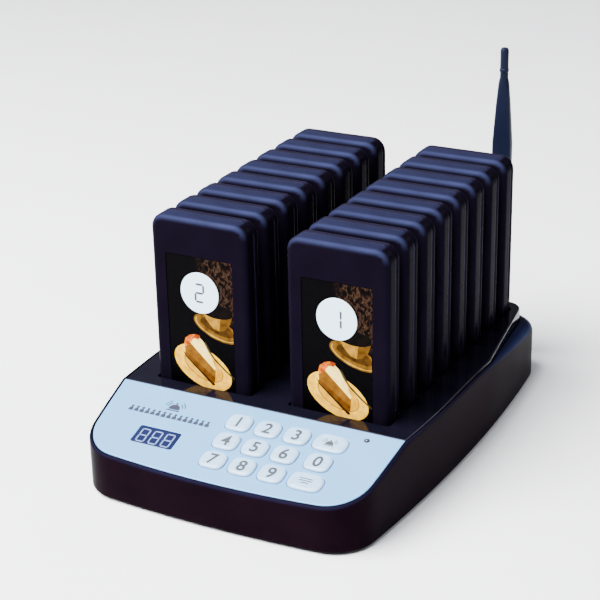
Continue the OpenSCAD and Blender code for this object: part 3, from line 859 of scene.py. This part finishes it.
def pager_rim(p, drop, radius):
    """Painted highlight weight of a pager: bright along the top edge, with fainter painted light on the top
    side and a thin painted highlight at the seam.
    """
    below = PAGER_H - p.z
    inset = min(PAGER_W / 2 - abs(p.x), below, p.z)
    if inset > radius + 0.1:
        return 0.0
    # Painted light: the edge highlight fades down the sides below the top corners and grows towards the
    # right.
    rise = min(1, max(0, 1 - below / (0.95 * PAGER_CORNER)))
    top = 0.3 if below < 0.4 else 0.0
    seam_highlight = 0.55 if abs(p.y - SHELL_DEPTH) < 0.6 and inset < 0.3 else 0.0
    edge_highlight = on_fillet(drop, radius) ** 2 * (0.8 + 0.4 * p.x / PAGER_W)
    return max(edge_highlight * (0.03 + 0.97 * rise), top, seam_highlight)


def front_shell():
    """Front shell with a rounded edge and a shallow pocket for the card."""
    edge = SHELL_DEPTH
    loops = [pager_ring(d, y) for d, y in ((SHELL_WALL, 2.0), (SHELL_WALL, edge), (0.5, edge),
                                           (0.16, edge - 0.08), (0, edge - 0.4), (0, edge - 0.9),
                                           (0, FRONT_ROUND + 0.4))]
    loops += [pager_ring(d, drop) for d, drop in fillet(FRONT_ROUND, 9)]
    loops.append(pager_ring(FRONT_ROUND + 0.5, 0))
    loops += [card_ring(grow, y) for grow, y in ((0.9, 0), (0.45, 0), (0.25, 0.06), (0.15, 0.2),
                                                 (0.15, 0.9))]
    mesh = cut(capped(loops), contact_cutters(), "pager_front_shell")
    return mark_rim(mesh, lambda p: pager_rim(p, p.y, FRONT_ROUND))


def screw_places():
    """Across and up, 12 mm from both ends of a pager."""
    return [(x, z) for x in (-19, 19) for z in (12, PAGER_H - 12)]


def back_shell():
    """Back shell with its own rounded rim and counterbored screw holes."""
    edge = SHELL_DEPTH + SEAM
    loops = [pager_ring(d, y) for d, y in ((SHELL_WALL, PAGER_T - SHELL_WALL), (SHELL_WALL, edge),
                                           (0.5, edge), (0.16, edge + 0.08), (0, edge + 0.4),
                                           (0, PAGER_T - BACK_ROUND - 0.3))]
    loops += [pager_ring(d, PAGER_T - drop) for d, drop in fillet(BACK_ROUND, 7)]
    loops += [pager_ring(d, PAGER_T - sunk) for d, sunk in ((BACK_ROUND + 0.5, 0), (4.2, 0),
                                                            (4.6, 0.12), (5.0, 0.12))]
    lip = [pager_ring(d, edge + y) for d, y in ((1.7, 1.4), (1.7, -1.2), (2.5, -1.2), (2.5, 1.4))]
    holes = [tube(1.8, (x, PAGER_T - 0.9, z), (x, PAGER_T + 2, z), steps=32)
             for x, z in screw_places()]
    mesh = cut(capped(loops), holes, "pager_back_shell")
    ring = Shape()
    ring.loft(lip, closed=True)
    mesh = join_meshes(mesh, ring.mesh("pager_lip"))
    return mark_rim(mesh, lambda p: pager_rim(p, PAGER_T - p.y, BACK_ROUND))


def join_meshes(a, b):
    joined = bmesh.new()
    joined.from_mesh(a)
    joined.from_mesh(b)
    joined.to_mesh(a)
    joined.free()
    bpy.data.meshes.remove(b)
    mark_sharp(a)
    return a


def card_plate():
    """Printed card lying in the pocket."""
    return capped([card_ring(0, 0.85), card_ring(0, 0.36), card_ring(-0.06, 0.3)])


def disc_plate():
    """Number disc with a rolled edge."""
    loops = []
    for d, y in ((0, 0.25), (0, 0.02), (0.03, -0.03), (0.1, -0.05), (0.4, -0.05)):
        loops.append([(x, y, z) for x, z in circle(DISC_R - d, 0, DISC_Z, steps=72)])
    return capped(loops)


LIT = {"0": "abcdef", "1": "bc", "2": "abged", "3": "abgcd", "4": "fgbc", "5": "afgcd",
       "6": "afgedc", "7": "abc", "8": "abcdefg", "9": "abcdfg"}


def number_mark(i):
    """Pager number on its disc in thin seven-bar digits."""
    shape = Shape()
    text = str(i)
    width = 4.2 if len(text) == 1 else 3.4
    for k, digit in enumerate(text):
        shift = (k - (len(text) - 1) / 2) * (width + 2.2)
        for outline in segment_outlines(width, 8.6, 1.0, LIT[digit]):
            loops = [[(x + shift, y, z + DISC_Z) for x, z in outline] for y in (-0.05, -0.09)]
            shape.loft(loops, cap_start=True, cap_end=True)
    return shape


def contact_plates():
    shape = Shape()
    for side in (-1, 1):
        x, y = side * PIN_GAP / 2, PAGER_T / 2
        loops = [flat_loop(rounded(5.2 - 2 * d, 3.4 - 2 * d, 0.5 - d / 2, x, y - 0.3), z)
                 for d, z in ((0, 1.8), (0, 0.25), (0.1, 0.07), (0.3, 0.0))]
        shape.loft(loops, cap_start=True, cap_end=True)
    return shape


def screw_heads():
    """Pan heads with a straight slot, sunk in the back shell."""
    shape = Shape()
    for x, z in screw_places():
        profile = [(1.0, 2.8), (1.0, PAGER_T - 0.85), (1.68, PAGER_T - 0.85), (1.68, PAGER_T - 0.4),
                   (1.5, PAGER_T - 0.22), (1.1, PAGER_T - 0.15)]
        loops = [[(x + u, y, z + v) for u, v in circle(r, steps=28)] for r, y in profile]
        shape.loft(loops, cap_start=True, cap_end=True)
    slots = [block((x - 1.3, PAGER_T - 0.5, z - 0.25), (x + 1.3, PAGER_T + 1, z + 0.25))
             for x, z in screw_places()]
    return cut(shape, slots, "pager_screws")


# ---------- the printed card: a cup and a slice of cake ----------

def ellipse(cx, cz, rx, rz, lean=0.0, start=0.0, end=360.0, steps=48):
    """Points of an ellipse or a stretch of one, leaned by an angle in degrees."""
    turn = Matrix.Rotation(math.radians(lean), 2)
    full = abs(end - start) >= 360
    points = []
    for k in range(steps if full else steps + 1):
        a = math.radians(start + (end - start) * k / steps)
        p = turn @ Vector((rx * math.cos(a), rz * math.sin(a)))
        points.append((cx + p.x, cz + p.y))
    return points


def band_of(cx, cz, rx, rz, width, lean):
    """Thin line along the lower part of an ellipse."""
    outer = ellipse(cx, cz, rx, rz, lean, 170, 400)
    inner = ellipse(cx, cz, rx - width, rz - width, lean, 400, 170)
    return outer + inner


def swept(line, width):
    """Thin stroke along a line of points."""
    left, right = [], []
    for k, p in enumerate(line):
        a = Vector(line[max(k - 1, 0)])
        b = Vector(line[min(k + 1, len(line) - 1)])
        side = (b - a).orthogonal().normalized() * width / 2
        left.append(tuple(Vector(p) + side))
        right.append(tuple(Vector(p) - side))
    return left + right[::-1]


def picture_layers():
    """Layers of the picture from back to front: material name and outline."""
    cup_x, cup_z = 9.0, 41.0
    plate_x, plate_z = 0.0, 11.5
    bowl = ellipse(cup_x, cup_z, 8.4, 2.6, 0, 180, 360, 24)
    bowl = bowl + [(cup_x + 6.4, cup_z - 5.2), (cup_x + 3.4, cup_z - 8.6), (cup_x + 0.6, cup_z - 9.6),
                   (cup_x - 2.6, cup_z - 8.6), (cup_x - 6.2, cup_z - 4.6)]
    shade = [(cup_x + 1.5, cup_z - 2.6), (cup_x + 8.3, cup_z - 1.0), (cup_x + 6.4, cup_z - 5.2),
             (cup_x + 3.4, cup_z - 8.6), (cup_x + 0.6, cup_z - 9.6)]
    cake_side = [(-9.4, 21.0), (-9.2, 16.2), (5.4, 4.4), (6.2, 5.4), (6.8, 11.6), (-5.6, 22.4)]
    cake_base = [(-9.3, 18.2), (-9.2, 16.2), (5.4, 4.4), (6.2, 5.4), (6.4, 7.4)]
    cake_top = [(-6.4, 23.0), (-5.2, 25.2), (-1.6, 26.6), (0.8, 24.6), (5.2, 16.6), (6.9, 12.2),
                (6.4, 11.2)]
    glaze = [(-9.6, 22.4), (-8.8, 25.0), (-6.4, 27.0), (-3.0, 27.8), (-0.8, 27.2), (-1.8, 25.4),
             (-4.2, 25.6), (-5.6, 23.8), (-6.8, 22.0), (-9.0, 20.6)]
    fork = swept([(1.6, 24.6), (3.8, 20.4), (6.4, 17.0), (11.0, 13.0), (17.2, 8.6)], 0.9)
    return [
        ("saucer_print", ellipse(cup_x - 1.0, cup_z - 8.6, 12.4, 5.2, -19)),
        ("saucer_well", ellipse(cup_x - 0.4, cup_z - 7.8, 9.2, 3.2, -17)),
        ("saucer_line", band_of(cup_x - 1.0, cup_z - 8.6, 11.4, 4.5, 0.4, -19)),
        ("cup_print", bowl),
        ("cup_shade", shade),
        ("coffee_print", ellipse(cup_x, cup_z, 8.4, 3.4)),
        ("plate_print", ellipse(plate_x, plate_z, 16.0, 9.6, -22)),
        ("plate_well", ellipse(plate_x + 0.4, plate_z + 0.4, 11.2, 6.4, -22)),
        ("plate_line", band_of(plate_x + 0.4, plate_z + 0.4, 10.8, 6.2, 0.35, -22)),
        ("shadow_print", [(-10.6, 18.2), (-9.2, 15.4), (5.0, 3.2), (6.4, 3.6), (5.6, 5.0), (-9.0, 17.0)]),
        ("cake_side", cake_side),
        ("cake_base", cake_base),
        ("cake_top", cake_top),
        ("glaze_print", glaze),
        ("fork_print", fork),
    ]


def clip_to_card(outline):
    """Keeps an outline inside the card."""
    half, low = CARD_W / 2 - 0.4, 0.5
    return [(min(max(x, -half), half), min(max(z, low), CARD_H - low)) for x, z in outline]


def picture():
    """All printed layers as one piece, with the names of their finishes."""
    shape = Shape()
    foot = CARD_MID - CARD_H / 2
    layers = picture_layers()
    for k, (name, outline) in enumerate(layers):
        ring = [(x, z + foot) for x, z in clip_to_card(outline)]
        shape.loft([[(x, depth, z) for x, z in ring] for depth in (0.3, 0.28 - 0.011 * k)],
                   cap_end=True, slot=k)
    return shape, [name for name, outline in layers]


# ---------- antenna ----------

def antenna_blade():
    """Flat paddle that narrows to a round tip, with a hinge tongue at its foot."""
    lo, hi = span("antenna_blade")
    x, y, _ = middle("antenna_blade")
    w, t = hi.x - lo.x, hi.y - lo.y
    pivot = middle("antenna_connector")[2]
    root, top = pivot + 5.9, hi.z
    stations = [(root, w - 2.4, t - 1.2), (root + 0.25, w - 1.2, t - 0.6),
                (root + 0.9, w - 0.3, t - 0.15), (root + 1.8, w, t), (root + 30, w, t),
                (root + 60, w, t), (top - 54, w, t), (top - 50, w, t), (top - 46, w - 0.6, t),
                (top - 30, 7.3, t), (top - 20, 5.8, 4.8), (top - 17, 5.1, 4.6),
                (top - 15.6, 4.2, 4.2), (top - 12.6, 4.2, 4.2), (top - 12.2, 4.8, 4.8),
                (top - 11, 4.8, 4.8), (top - 10.7, 4.3, 4.3), (top - 2, 4.3, 4.3),
                (top - 0.9, 4.0, 4.0), (top - 0.25, 3.0, 3.0), (top, 1.2, 1.2)]
    loops = []
    for z, a, b in stations:
        power = 5 if z < top - 40 else 2 + 3 * max(0, (top - 17 - z) / 23)
        loops.append([(x + u, y + v, z) for u, v in pillow(a, b, power=power, steps=40)])
    shape = Shape()
    shape.loft(loops, cap_start=True, cap_end=True)
    half = 2.35
    ring = [(y + v, pivot + z) for v, z in arc(0, 0, half, math.pi, 2 * math.pi, 16)]
    ring += [(y + half, root + 0.5), (y - half, root + 0.5)]
    shape.loft([[(x + u, v, z) for v, z in ring] for u in (-half, half)], cap_start=True, cap_end=True)
    return shape


# ---------- materials ----------

class Finish:
    """A node material with helpers for procedural detail."""

    def __init__(self, name):
        self.material = bpy.data.materials.new(name)
        self.material.use_nodes = True
        self.nodes = self.material.node_tree.nodes
        self.links = self.material.node_tree.links
        self.shader = self.nodes["Principled BSDF"]
        self.place = self.nodes.new("ShaderNodeTexCoord").outputs["Object"]

    def feed(self, socket, value):
        """Joins a socket to another one, or sets its own value."""
        if isinstance(value, bpy.types.NodeSocket):
            self.links.new(value, socket)
        else:
            socket.default_value = value

    def set(self, node=None, **values):
        """Feeds the inputs of a node, or of the shader, by name."""
        for name, value in values.items():
            self.feed((node or self.shader).inputs[name.replace("_", " ")], value)

    def node(self, kind, **values):
        node = self.nodes.new(f"ShaderNode{kind}")
        self.set(node, **values)
        return node

    def stretched(self, x, y, z):
        return self.node("Mapping", Scale=(x, y, z), Vector=self.place).outputs["Vector"]

    def noise(self, scale, detail=3, place=None):
        """Noise with scale features per metre."""
        return self.node("TexNoise", Scale=scale, Detail=detail, Vector=place or self.place).outputs["Fac"]

    def ramp(self, source, stops):
        """Colour ramp from (position, colour) pairs."""
        node = self.node("ValToRGB", Fac=source)
        ramp = node.color_ramp
        while len(ramp.elements) < len(stops):
            ramp.elements.new(0.5)
        for element, (position, colour) in zip(ramp.elements, stops):
            element.position = position
            element.color = (*colour, 1)
        return node.outputs["Color"]

    def blend(self, source, low, high, start=0.0, end=1.0):
        """Numbers from low to high as source goes from start to end."""
        node = self.node("MapRange", Value=source, From_Min=start, From_Max=end, To_Min=low, To_Max=high)
        return node.outputs["Result"]

    def math(self, kind, a, b):
        node = self.node("Math")
        node.operation = kind
        self.feed(node.inputs[0], a)
        self.feed(node.inputs[1], b)
        return node.outputs[0]

    def mix(self, factor, a, b):
        """Colour a where factor is 0 and b where it is 1."""
        node = self.node("Mix")
        node.data_type = "RGBA"
        self.feed(node.inputs[0], factor)
        for socket, value in ((node.inputs[6], a), (node.inputs[7], b)):
            self.feed(socket, (*value, 1) if isinstance(value, tuple) else value)
        return node.outputs[2]

    def edges(self):
        """1 on worn outer edges, 0 elsewhere."""
        return self.blend(self.node("NewGeometry").outputs["Pointiness"], 0, 1, 0.53, 0.62)

    def rim(self):
        """The painted highlight weight stored on the mesh as its rim attribute, broken up a little."""
        node = self.node("Attribute")
        node.attribute_name = "rim"
        uneven = self.blend(self.noise(70, 4), 0.8, 1.0, 0.35, 0.6)
        return self.math("MULTIPLY", node.outputs["Fac"], uneven)

    def bump(self, height, distance, strength=1.0, under=None):
        """Relief with its depth in mm, on top of the relief under it."""
        node = self.node("Bump", Distance=distance * MM, Strength=strength, Height=height)
        if under is not None:
            self.set(node, Normal=under)
        return node.outputs["Normal"]


def plastic(name, dark, light, rough, grain=900, depth=0.012, level=0.5, wear=0.25,
            sheen=(1.0, 1.0, 1.0), rim=None):
    """Moulded plastic: faint mottling, fine grain, rubbed edges and light scratches, with a highlight
    painted in the rim colour where one is given.
    """
    f = Finish(name)
    mottle = f.ramp(f.noise(45, 4), [(0.3, dark), (0.7, light)])
    worn = tuple(min(1, c * 2.2 + 0.02) for c in light)
    rubbed = f.math("MULTIPLY", f.edges(), f.blend(f.noise(160, 5), 0, wear, 0.4, 0.75))
    colour = f.mix(rubbed, mottle, worn)
    # Painted highlight: the rim colour is mixed in by the stored rim weight, standing in for light on the
    # lit edges.
    if rim is not None:
        colour = f.mix(f.rim(), colour, rim)
    f.set(Base_Color=colour)
    smudge = f.blend(f.noise(22, 5), rough - 0.05, rough + 0.07, 0.3, 0.7)
    scratch = f.noise(1, 2, f.stretched(60, 1400, 900))
    fine = f.blend(scratch, 0, 0.05, 0.55, 0.75)
    f.set(Roughness=f.math("ADD", smudge, fine))
    first = f.bump(f.noise(grain, 2), depth)
    f.set(Normal=f.bump(f.noise(60, 2), 0.05, 0.35, first))
    f.set(Specular_IOR_Level=level, Specular_Tint=(*sheen, 1))
    return f.material


def brushed_panel():
    """Pale silver-blue lacquer with fine metallic flecks and a clear coat."""
    f = Finish("panel_lacquer")
    fleck = f.noise(5200, 2)
    tone = f.ramp(fleck, [(0.3, (0.085, 0.27, 0.52)), (0.7, (0.12, 0.33, 0.60))])
    haze = f.ramp(f.noise(14, 3), [(0.3, (0.095, 0.29, 0.55)), (0.7, (0.12, 0.33, 0.59))])
    f.set(Base_Color=f.mix(f.blend(f.noise(30, 2), 0.3, 0.7), tone, haze))
    f.set(Roughness=f.blend(f.noise(240, 4), 0.34, 0.46, 0.3, 0.7))
    f.set(Normal=f.bump(fleck, 0.006))
    f.set(Metallic=0.1, Coat_Weight=0.12, Coat_Roughness=0.3)
    return f.material


def mottled(name, tone, rough, relief, stops=(0.3, 0.7), **values):
    """A finish whose colour, roughness and relief each follow their own noise.

    Every noise starts with its scale and detail. Tone goes on with a dark and a light colour,
    rough with the lowest and highest roughness, and relief with its depth in mm.
    """
    f = Finish(name)
    *noise, dark, light = tone
    f.set(Base_Color=f.ramp(f.noise(*noise), list(zip(stops, (dark, light)))))
    *noise, low, high = rough
    f.set(Roughness=f.blend(f.noise(*noise), low, high, 0.3, 0.7))
    *noise, depth = relief
    f.set(Normal=f.bump(f.noise(*noise), depth))
    f.set(**values)
    return f.material


def key_silicone():
    """Milky translucent keys with a soft skin."""
    return mottled("key_silicone", (260, 3, (0.28, 0.44, 0.62), (0.33, 0.50, 0.68)),
                   (180, 3, 0.26, 0.38), (1800, 2, 0.006), Subsurface_Weight=0.25,
                   Subsurface_Scale=0.001, Coat_Weight=0.25, Coat_Roughness=0.2)


def ink(name, colour, rough=0.45):
    """Printed ink with a slightly uneven film."""
    light = tuple(min(1, c * 1.25 + 0.01) for c in colour)
    return mottled(name, (900, 3, colour, light), (500, 2, rough - 0.06, rough + 0.06),
                   (2600, 2, 0.004), stops=(0.35, 0.7))


def metal(name, colour, rough):
    """Turned or stamped metal with fine tooling marks."""
    f = Finish(name)
    light = tuple(min(1, c * 1.12) for c in colour)
    f.set(Base_Color=f.ramp(f.noise(700, 4), [(0.3, colour), (0.7, light)]))
    f.set(Roughness=f.blend(f.noise(420, 4), rough - 0.06, rough + 0.1, 0.3, 0.7))
    f.set(Normal=f.bump(f.noise(1, 2, f.stretched(500, 4000, 500)), 0.006))
    f.set(Metallic=1.0)
    return f.material


def board():
    """Green solder mask with faint copper tracks under it."""
    f = Finish("board_mask")
    tracks = f.noise(1, 0, f.stretched(500, 120, 120))
    f.set(Base_Color=f.ramp(tracks, [(0.45, (0.01, 0.10, 0.045)), (0.55, (0.02, 0.17, 0.08))]))
    f.set(Roughness=f.blend(f.noise(300, 3), 0.22, 0.34, 0.3, 0.7))
    f.set(Normal=f.bump(tracks, 0.03))
    return f.material


def rubber():
    """Matt black rubber with a dusty bloom."""
    return mottled("foot_rubber", (500, 4, (0.012, 0.012, 0.013), (0.03, 0.03, 0.032)),
                   (300, 3, 0.7, 0.9), (1500, 3, 0.03))


def window_blue():
    """Dark blue display window, glossy and slightly uneven in tone."""
    return mottled("window_blue", (120, 2, (0.007, 0.010, 0.036), (0.010, 0.014, 0.048)),
                   (90, 4, 0.10, 0.18), (700, 2, 0.003), Specular_IOR_Level=0.3)


def lit_bars():
    """Pale glowing digit bars."""
    return mottled("lit_bars", (900, 2, (0.10, 0.16, 0.34), (0.13, 0.20, 0.40)),
                   (400, 2, 0.3, 0.42), (1500, 2, 0.003), Emission_Color=(0.35, 0.50, 0.95, 1),
                   Emission_Strength=0.15)


def red_lamp():
    """Dark red lens of an unlit lamp."""
    return mottled("lamp_red", (800, 2, (0.020, 0.012, 0.014), (0.035, 0.018, 0.020)),
                   (400, 2, 0.12, 0.2), (1500, 2, 0.004), Coat_Weight=0.6, Coat_Roughness=0.05)


def disc_white():
    """Cool white printed plastic."""
    return mottled("disc_white", (150, 3, (0.62, 0.82, 0.97), (0.68, 0.87, 0.99)),
                   (120, 4, 0.3, 0.42), (1400, 2, 0.004))


def picture_card():
    """Dark printed card with a warm mottled patch at its upper right."""
    f = Finish("card_dark")
    split = f.nodes.new("ShaderNodeSeparateXYZ")
    f.links.new(f.place, split.inputs[0])
    right = f.blend(split.outputs["X"], 0, 1, -0.002, 0.004)
    high = f.blend(split.outputs["Z"], 0, 1, 0.055, 0.062)
    patch = f.math("MULTIPLY", right, high)
    grain = f.noise(1, 5, f.stretched(700, 700, 420))
    beans = f.ramp(grain, [(0.44, (0.001, 0.0006, 0.0006)), (0.51, (0.012, 0.004, 0.0025)),
                           (0.57, (0.034, 0.019, 0.010)), (0.63, (0.004, 0.0018, 0.0015))])
    f.set(Base_Color=f.mix(patch, (0.0006, 0.0004, 0.0006), beans))
    f.set(Roughness=f.blend(f.noise(260, 3), 0.24, 0.34, 0.3, 0.7))
    f.set(Normal=f.bump(f.noise(1800, 2), 0.003))
    f.set(Specular_IOR_Level=0.012)
    return f.material


def print_material(name, dark, light):
    """One printed layer of the picture with soft mottled colour."""
    stops = (0.4, 0.6) if name == "glaze_print" else (0.3, 0.7)
    return mottled(name, (260, 3, dark, light), (260, 3, 0.24, 0.34), (1800, 2, 0.003), stops,
                   Specular_IOR_Level=0.015)


PRINT_TONES = {
    "saucer_print": ((0.045, 0.017, 0.002), (0.17, 0.075, 0.007)),
    "saucer_well": ((0.018, 0.007, 0.001), (0.07, 0.028, 0.003)),
    "saucer_line": ((0.30, 0.15, 0.015), (0.50, 0.28, 0.04)),
    "cup_shade": ((0.045, 0.018, 0.002), (0.13, 0.055, 0.006)),
    "plate_well": ((0.42, 0.17, 0.006), (0.72, 0.36, 0.016)),
    "cake_base": ((0.06, 0.018, 0.002), (0.13, 0.045, 0.005)),
    "cup_print": ((0.15, 0.065, 0.005), (0.33, 0.16, 0.015)),
    "coffee_print": ((0.0008, 0.0004, 0.0004), (0.003, 0.0015, 0.001)),
    "plate_print": ((0.55, 0.25, 0.008), (0.92, 0.50, 0.022)),
    "plate_line": ((0.09, 0.032, 0.004), (0.22, 0.085, 0.006)),
    "shadow_print": ((0.006, 0.002, 0.001), (0.022, 0.007, 0.002)),
    "cake_side": ((0.10, 0.034, 0.003), (0.20, 0.08, 0.008)),
    "cake_top": ((0.80, 0.50, 0.10), (0.98, 0.72, 0.22)),
    "glaze_print": ((0.20, 0.022, 0.001), (0.62, 0.13, 0.008)),
    "fork_print": ((0.016, 0.010, 0.003), (0.06, 0.042, 0.015)),
}

BLUE_SHEEN = (0.60, 0.52, 1.0)

# The rim colours of the case, shell and back plastics are painted highlights on their lit edges.
MATERIALS = {
    "case": plastic("case_plastic", (0.0030, 0.0010, 0.0022), (0.0046, 0.0016, 0.0034), 0.34, level=0.006,
                    sheen=BLUE_SHEEN, rim=(0.012, 0.020, 0.070)),
    "deck": plastic("deck_plastic", (0.0022, 0.0020, 0.0046), (0.0034, 0.0030, 0.0068), 0.09, 500, 0.003,
                    0.10, sheen=(0.8, 0.8, 1.0)),
    "shell": plastic("shell_plastic", (0.0024, 0.0015, 0.0038), (0.0034, 0.0022, 0.0054), 0.22, level=0.004,
                     sheen=BLUE_SHEEN, rim=(0.025, 0.030, 0.076)),
    "back": plastic("back_plastic", (0.0020, 0.0014, 0.0036), (0.0032, 0.0022, 0.0054), 0.32, level=0.003,
                    sheen=BLUE_SHEEN, rim=(0.022, 0.020, 0.042)),
    "cover": plastic("cover_plastic", (0.010, 0.009, 0.010), (0.018, 0.016, 0.018), 0.6, 700, 0.03),
    "fitting": plastic("fitting_plastic", (0.006, 0.006, 0.007), (0.012, 0.012, 0.013), 0.38, level=0.25),
    "rocker": plastic("rocker_plastic", (0.010, 0.010, 0.011), (0.017, 0.017, 0.018), 0.28, level=0.3),
    "antenna": plastic("antenna_plastic", (0.0035, 0.0046, 0.013), (0.0055, 0.007, 0.019), 0.36, level=0.08,
                       sheen=(0.7, 0.8, 1.0)),
    "panel": brushed_panel(),
    "key": key_silicone(),
    "legend": ink("legend_grey", (0.018, 0.021, 0.030)),
    "print": ink("print_navy", (0.0045, 0.006, 0.024)),
    "number": ink("number_ink", (0.005, 0.006, 0.026)),
    "brass": metal("contact_brass", (0.70, 0.48, 0.18), 0.28),
    "steel": metal("screw_steel", (0.52, 0.52, 0.54), 0.3),
    "shield": metal("shield_metal", (0.62, 0.63, 0.65), 0.34),
    "foil": metal("battery_foil", (0.60, 0.62, 0.66), 0.42),
    "board": board(),
    "rubber": rubber(),
    "window": window_blue(),
    "lit": lit_bars(),
    "lamp": red_lamp(),
    "disc": disc_white(),
    "card": picture_card(),
    "module": plastic("module_plastic", (0.01, 0.015, 0.035), (0.02, 0.028, 0.055), 0.4),
    "silicone": plastic("mat_silicone", (0.50, 0.50, 0.49), (0.60, 0.60, 0.59), 0.55, 1200, 0.02),
}
MATERIALS.update({name: print_material(name, *tones) for name, tones in PRINT_TONES.items()})


# ---------- making the pieces ----------

def make_case():
    shell = cut(case_shell(), rear_cutters(), "case_top")
    mark_rim(shell, case_rim)
    piece("case_top", shell, "base", "case", ["upper_case"])
    piece("deck", deck_shell(), "base", "deck", ["charging_deck"])
    piece("keypad_plate", panel_shell(), "base", "panel", ["keypad_panel"])


def make_keys():
    """A cap for every key, with a digit or an icon printed on it."""
    icons = {"call": bell_parts(4.6), "function": menu_parts(4.2)}
    for name in KEYS:
        node = f"key_{name}"
        piece(f"{node}_cap", key_cap(name), node, "key", [node])
        mark = icon_mark(name, icons[name]) if name in icons else digit_mark(name)
        piece(f"{node}_legend", mark, node, "legend")


def make_display():
    piece("display_window", display_lens(), "base", "window", ["display_lens"])
    piece("display_bars", display_digits(), "base", "lit", ["display_digits"])


def make_prints():
    """The bell and the row of waiting figures on the panel."""
    bell = panel_print(bell_parts(6.8), (-38.8, -10.4))
    queue = panel_print(queue_parts(15, 2.9), (-38.5, -17.0))
    piece("bell_print", bell, "base", "print")
    piece("queue_print", queue, "base", "print")


def pager_parts():
    """What all pagers share: part name, mesh, slot, finish and the node of pager 1 it stands for."""
    image, layers = picture()
    return [
        ("front", front_shell(), "pager_shell", "shell", "front_shell"),
        ("back", back_shell(), "pager_back", "back", "back_shell"),
        ("card_plate", card_plate().mesh("card_plate"), "picture_card", "card", "card"),
        ("picture", image.mesh("card_picture"), "picture_card", layers, None),
        ("number_disc", disc_plate().mesh("number_disc"), "number_disc", "disc", "disc"),
        ("contact_plates", contact_plates().mesh("contact_plates"), "contact_brass", "brass", "contacts"),
        ("screw_heads", screw_heads(), "screw_steel", "steel", "screws"),
    ]


def make_pagers():
    """Sixteen pagers on their own bodies, sharing their meshes."""
    parts = pager_parts()
    for i in range(1, PAGER_COUNT + 1):
        body = f"pager_{i:02d}"
        place = pager_place(i)
        for part, mesh, slot, finish, node in parts:
            whole = f"{body}_{node}" if i == 1 else body
            piece(f"{body}_{part}", mesh, body, finish, [whole] if node else [], place)
        piece(f"{body}_number", number_mark(i), body, "number", at=place)


def make_antenna():
    piece("antenna_paddle", antenna_blade(), "antenna_blade", "antenna",
          ["antenna_blade"])


KEPT = {
    "bottom_cover": "cover", "display_module": "module", "keypad_mat": "silicone", "main_board": "board",
    "radio_module": "shield", "charging_board": "board", "charging_pins": "brass", "status_lamp": "lamp",
    "case_screws": "steel", "rubber_feet": "rubber", "dc_inlet": "fitting", "switch_frame": "fitting",
    "power_rocker": "rocker", "antenna_connector": "brass", "antenna_elbow": "antenna",
    "antenna_hinge_pin": "steel", "pager_01_board": "board", "pager_01_battery": "foil",
    "pager_01_motor": "shield", "pager_01_lamps": "lamp",
}


def dress_cad_nodes():
    """Better finishes for the CAD nodes that stay."""
    for node, finish in KEPT.items():
        obj = frame["nodes"][node]
        obj.data.materials.clear()
        obj.data.materials.append(MATERIALS[finish])


# ---------- floor, lights and camera ----------

def make_floor():
    mesh = bpy.data.meshes.new("floor")
    size = 4.0
    mesh.from_pydata([(-size, -size, 0), (size, -size, 0), (size, size, 0), (-size, size, 0)], [],
                     [(0, 1, 2, 3)])
    f = Finish("floor_paper")
    f.set(Base_Color=f.ramp(f.noise(3, 2), [(0.3, (0.86, 0.86, 0.87)), (0.7, (0.89, 0.89, 0.90))]))
    f.set(Roughness=0.85, Specular_IOR_Level=0.2)
    mesh.materials.append(f.material)
    new_object("floor", mesh)


def softbox(name, place, aim, width, height, power, colour):
    light = bpy.data.lights.new(name, "AREA")
    light.shape = "RECTANGLE"
    light.size = width
    light.size_y = height
    light.energy = power
    light.color = colour
    obj = new_object(name, light)
    obj.location = place
    obj.rotation_euler = (Vector(aim) - Vector(place)).to_track_quat("-Z", "Y").to_euler()


def make_lights():
    middle = (0, 0, 0.07)
    softbox("overhead", (-0.50, -0.60, 1.25), middle, 1.2, 1.2, 150, (0.97, 0.98, 1.0))
    softbox("left_fill", (-1.3, -0.7, 0.7), middle, 0.8, 0.8, 7, (0.95, 0.97, 1.0))
    softbox("rear_rim", (0.9, 1.1, 0.8), middle, 0.7, 0.5, 8, (0.92, 0.95, 1.0))
    world = bpy.data.worlds.new("studio")
    world.use_nodes = True
    background = world.node_tree.nodes["Background"]
    background.inputs["Color"].default_value = (0.93, 0.95, 1.0, 1)
    background.inputs["Strength"].default_value = 0.3
    bpy.context.scene.world = world


def make_camera():
    """Long lens from the front right, a little above the object."""
    azimuth, elevation, roll = math.radians(28.46), math.radians(22.72), math.radians(-1.25)
    towards = Vector((math.sin(azimuth) * math.cos(elevation), -math.cos(azimuth) * math.cos(elevation),
                      math.sin(elevation)))
    right = Vector((math.cos(azimuth), math.sin(azimuth), 0))
    up = towards.cross(right)
    side = right * math.cos(roll) + up * math.sin(roll)
    over = up * math.cos(roll) - right * math.sin(roll)
    data = bpy.data.cameras.new("camera")
    data.lens = 102.2
    data.sensor_width = 36
    data.shift_x = 0.0023
    data.shift_y = -0.0043
    data.clip_start = 0.01
    camera = new_object("camera", data)
    turn = Matrix((side, over, towards)).transposed().to_4x4()
    offset = Vector((347.2, -610.3, 344.6))
    place = Vector((0, pager_place(1).y, DECK_TOP)) + offset
    camera.matrix_world = Matrix.Translation(place * MM) @ turn
    bpy.context.scene.camera = camera


make_camera()
make_floor()
make_lights()
make_case()
make_keys()
make_display()
make_prints()
make_pagers()
make_antenna()
dress_cad_nodes()
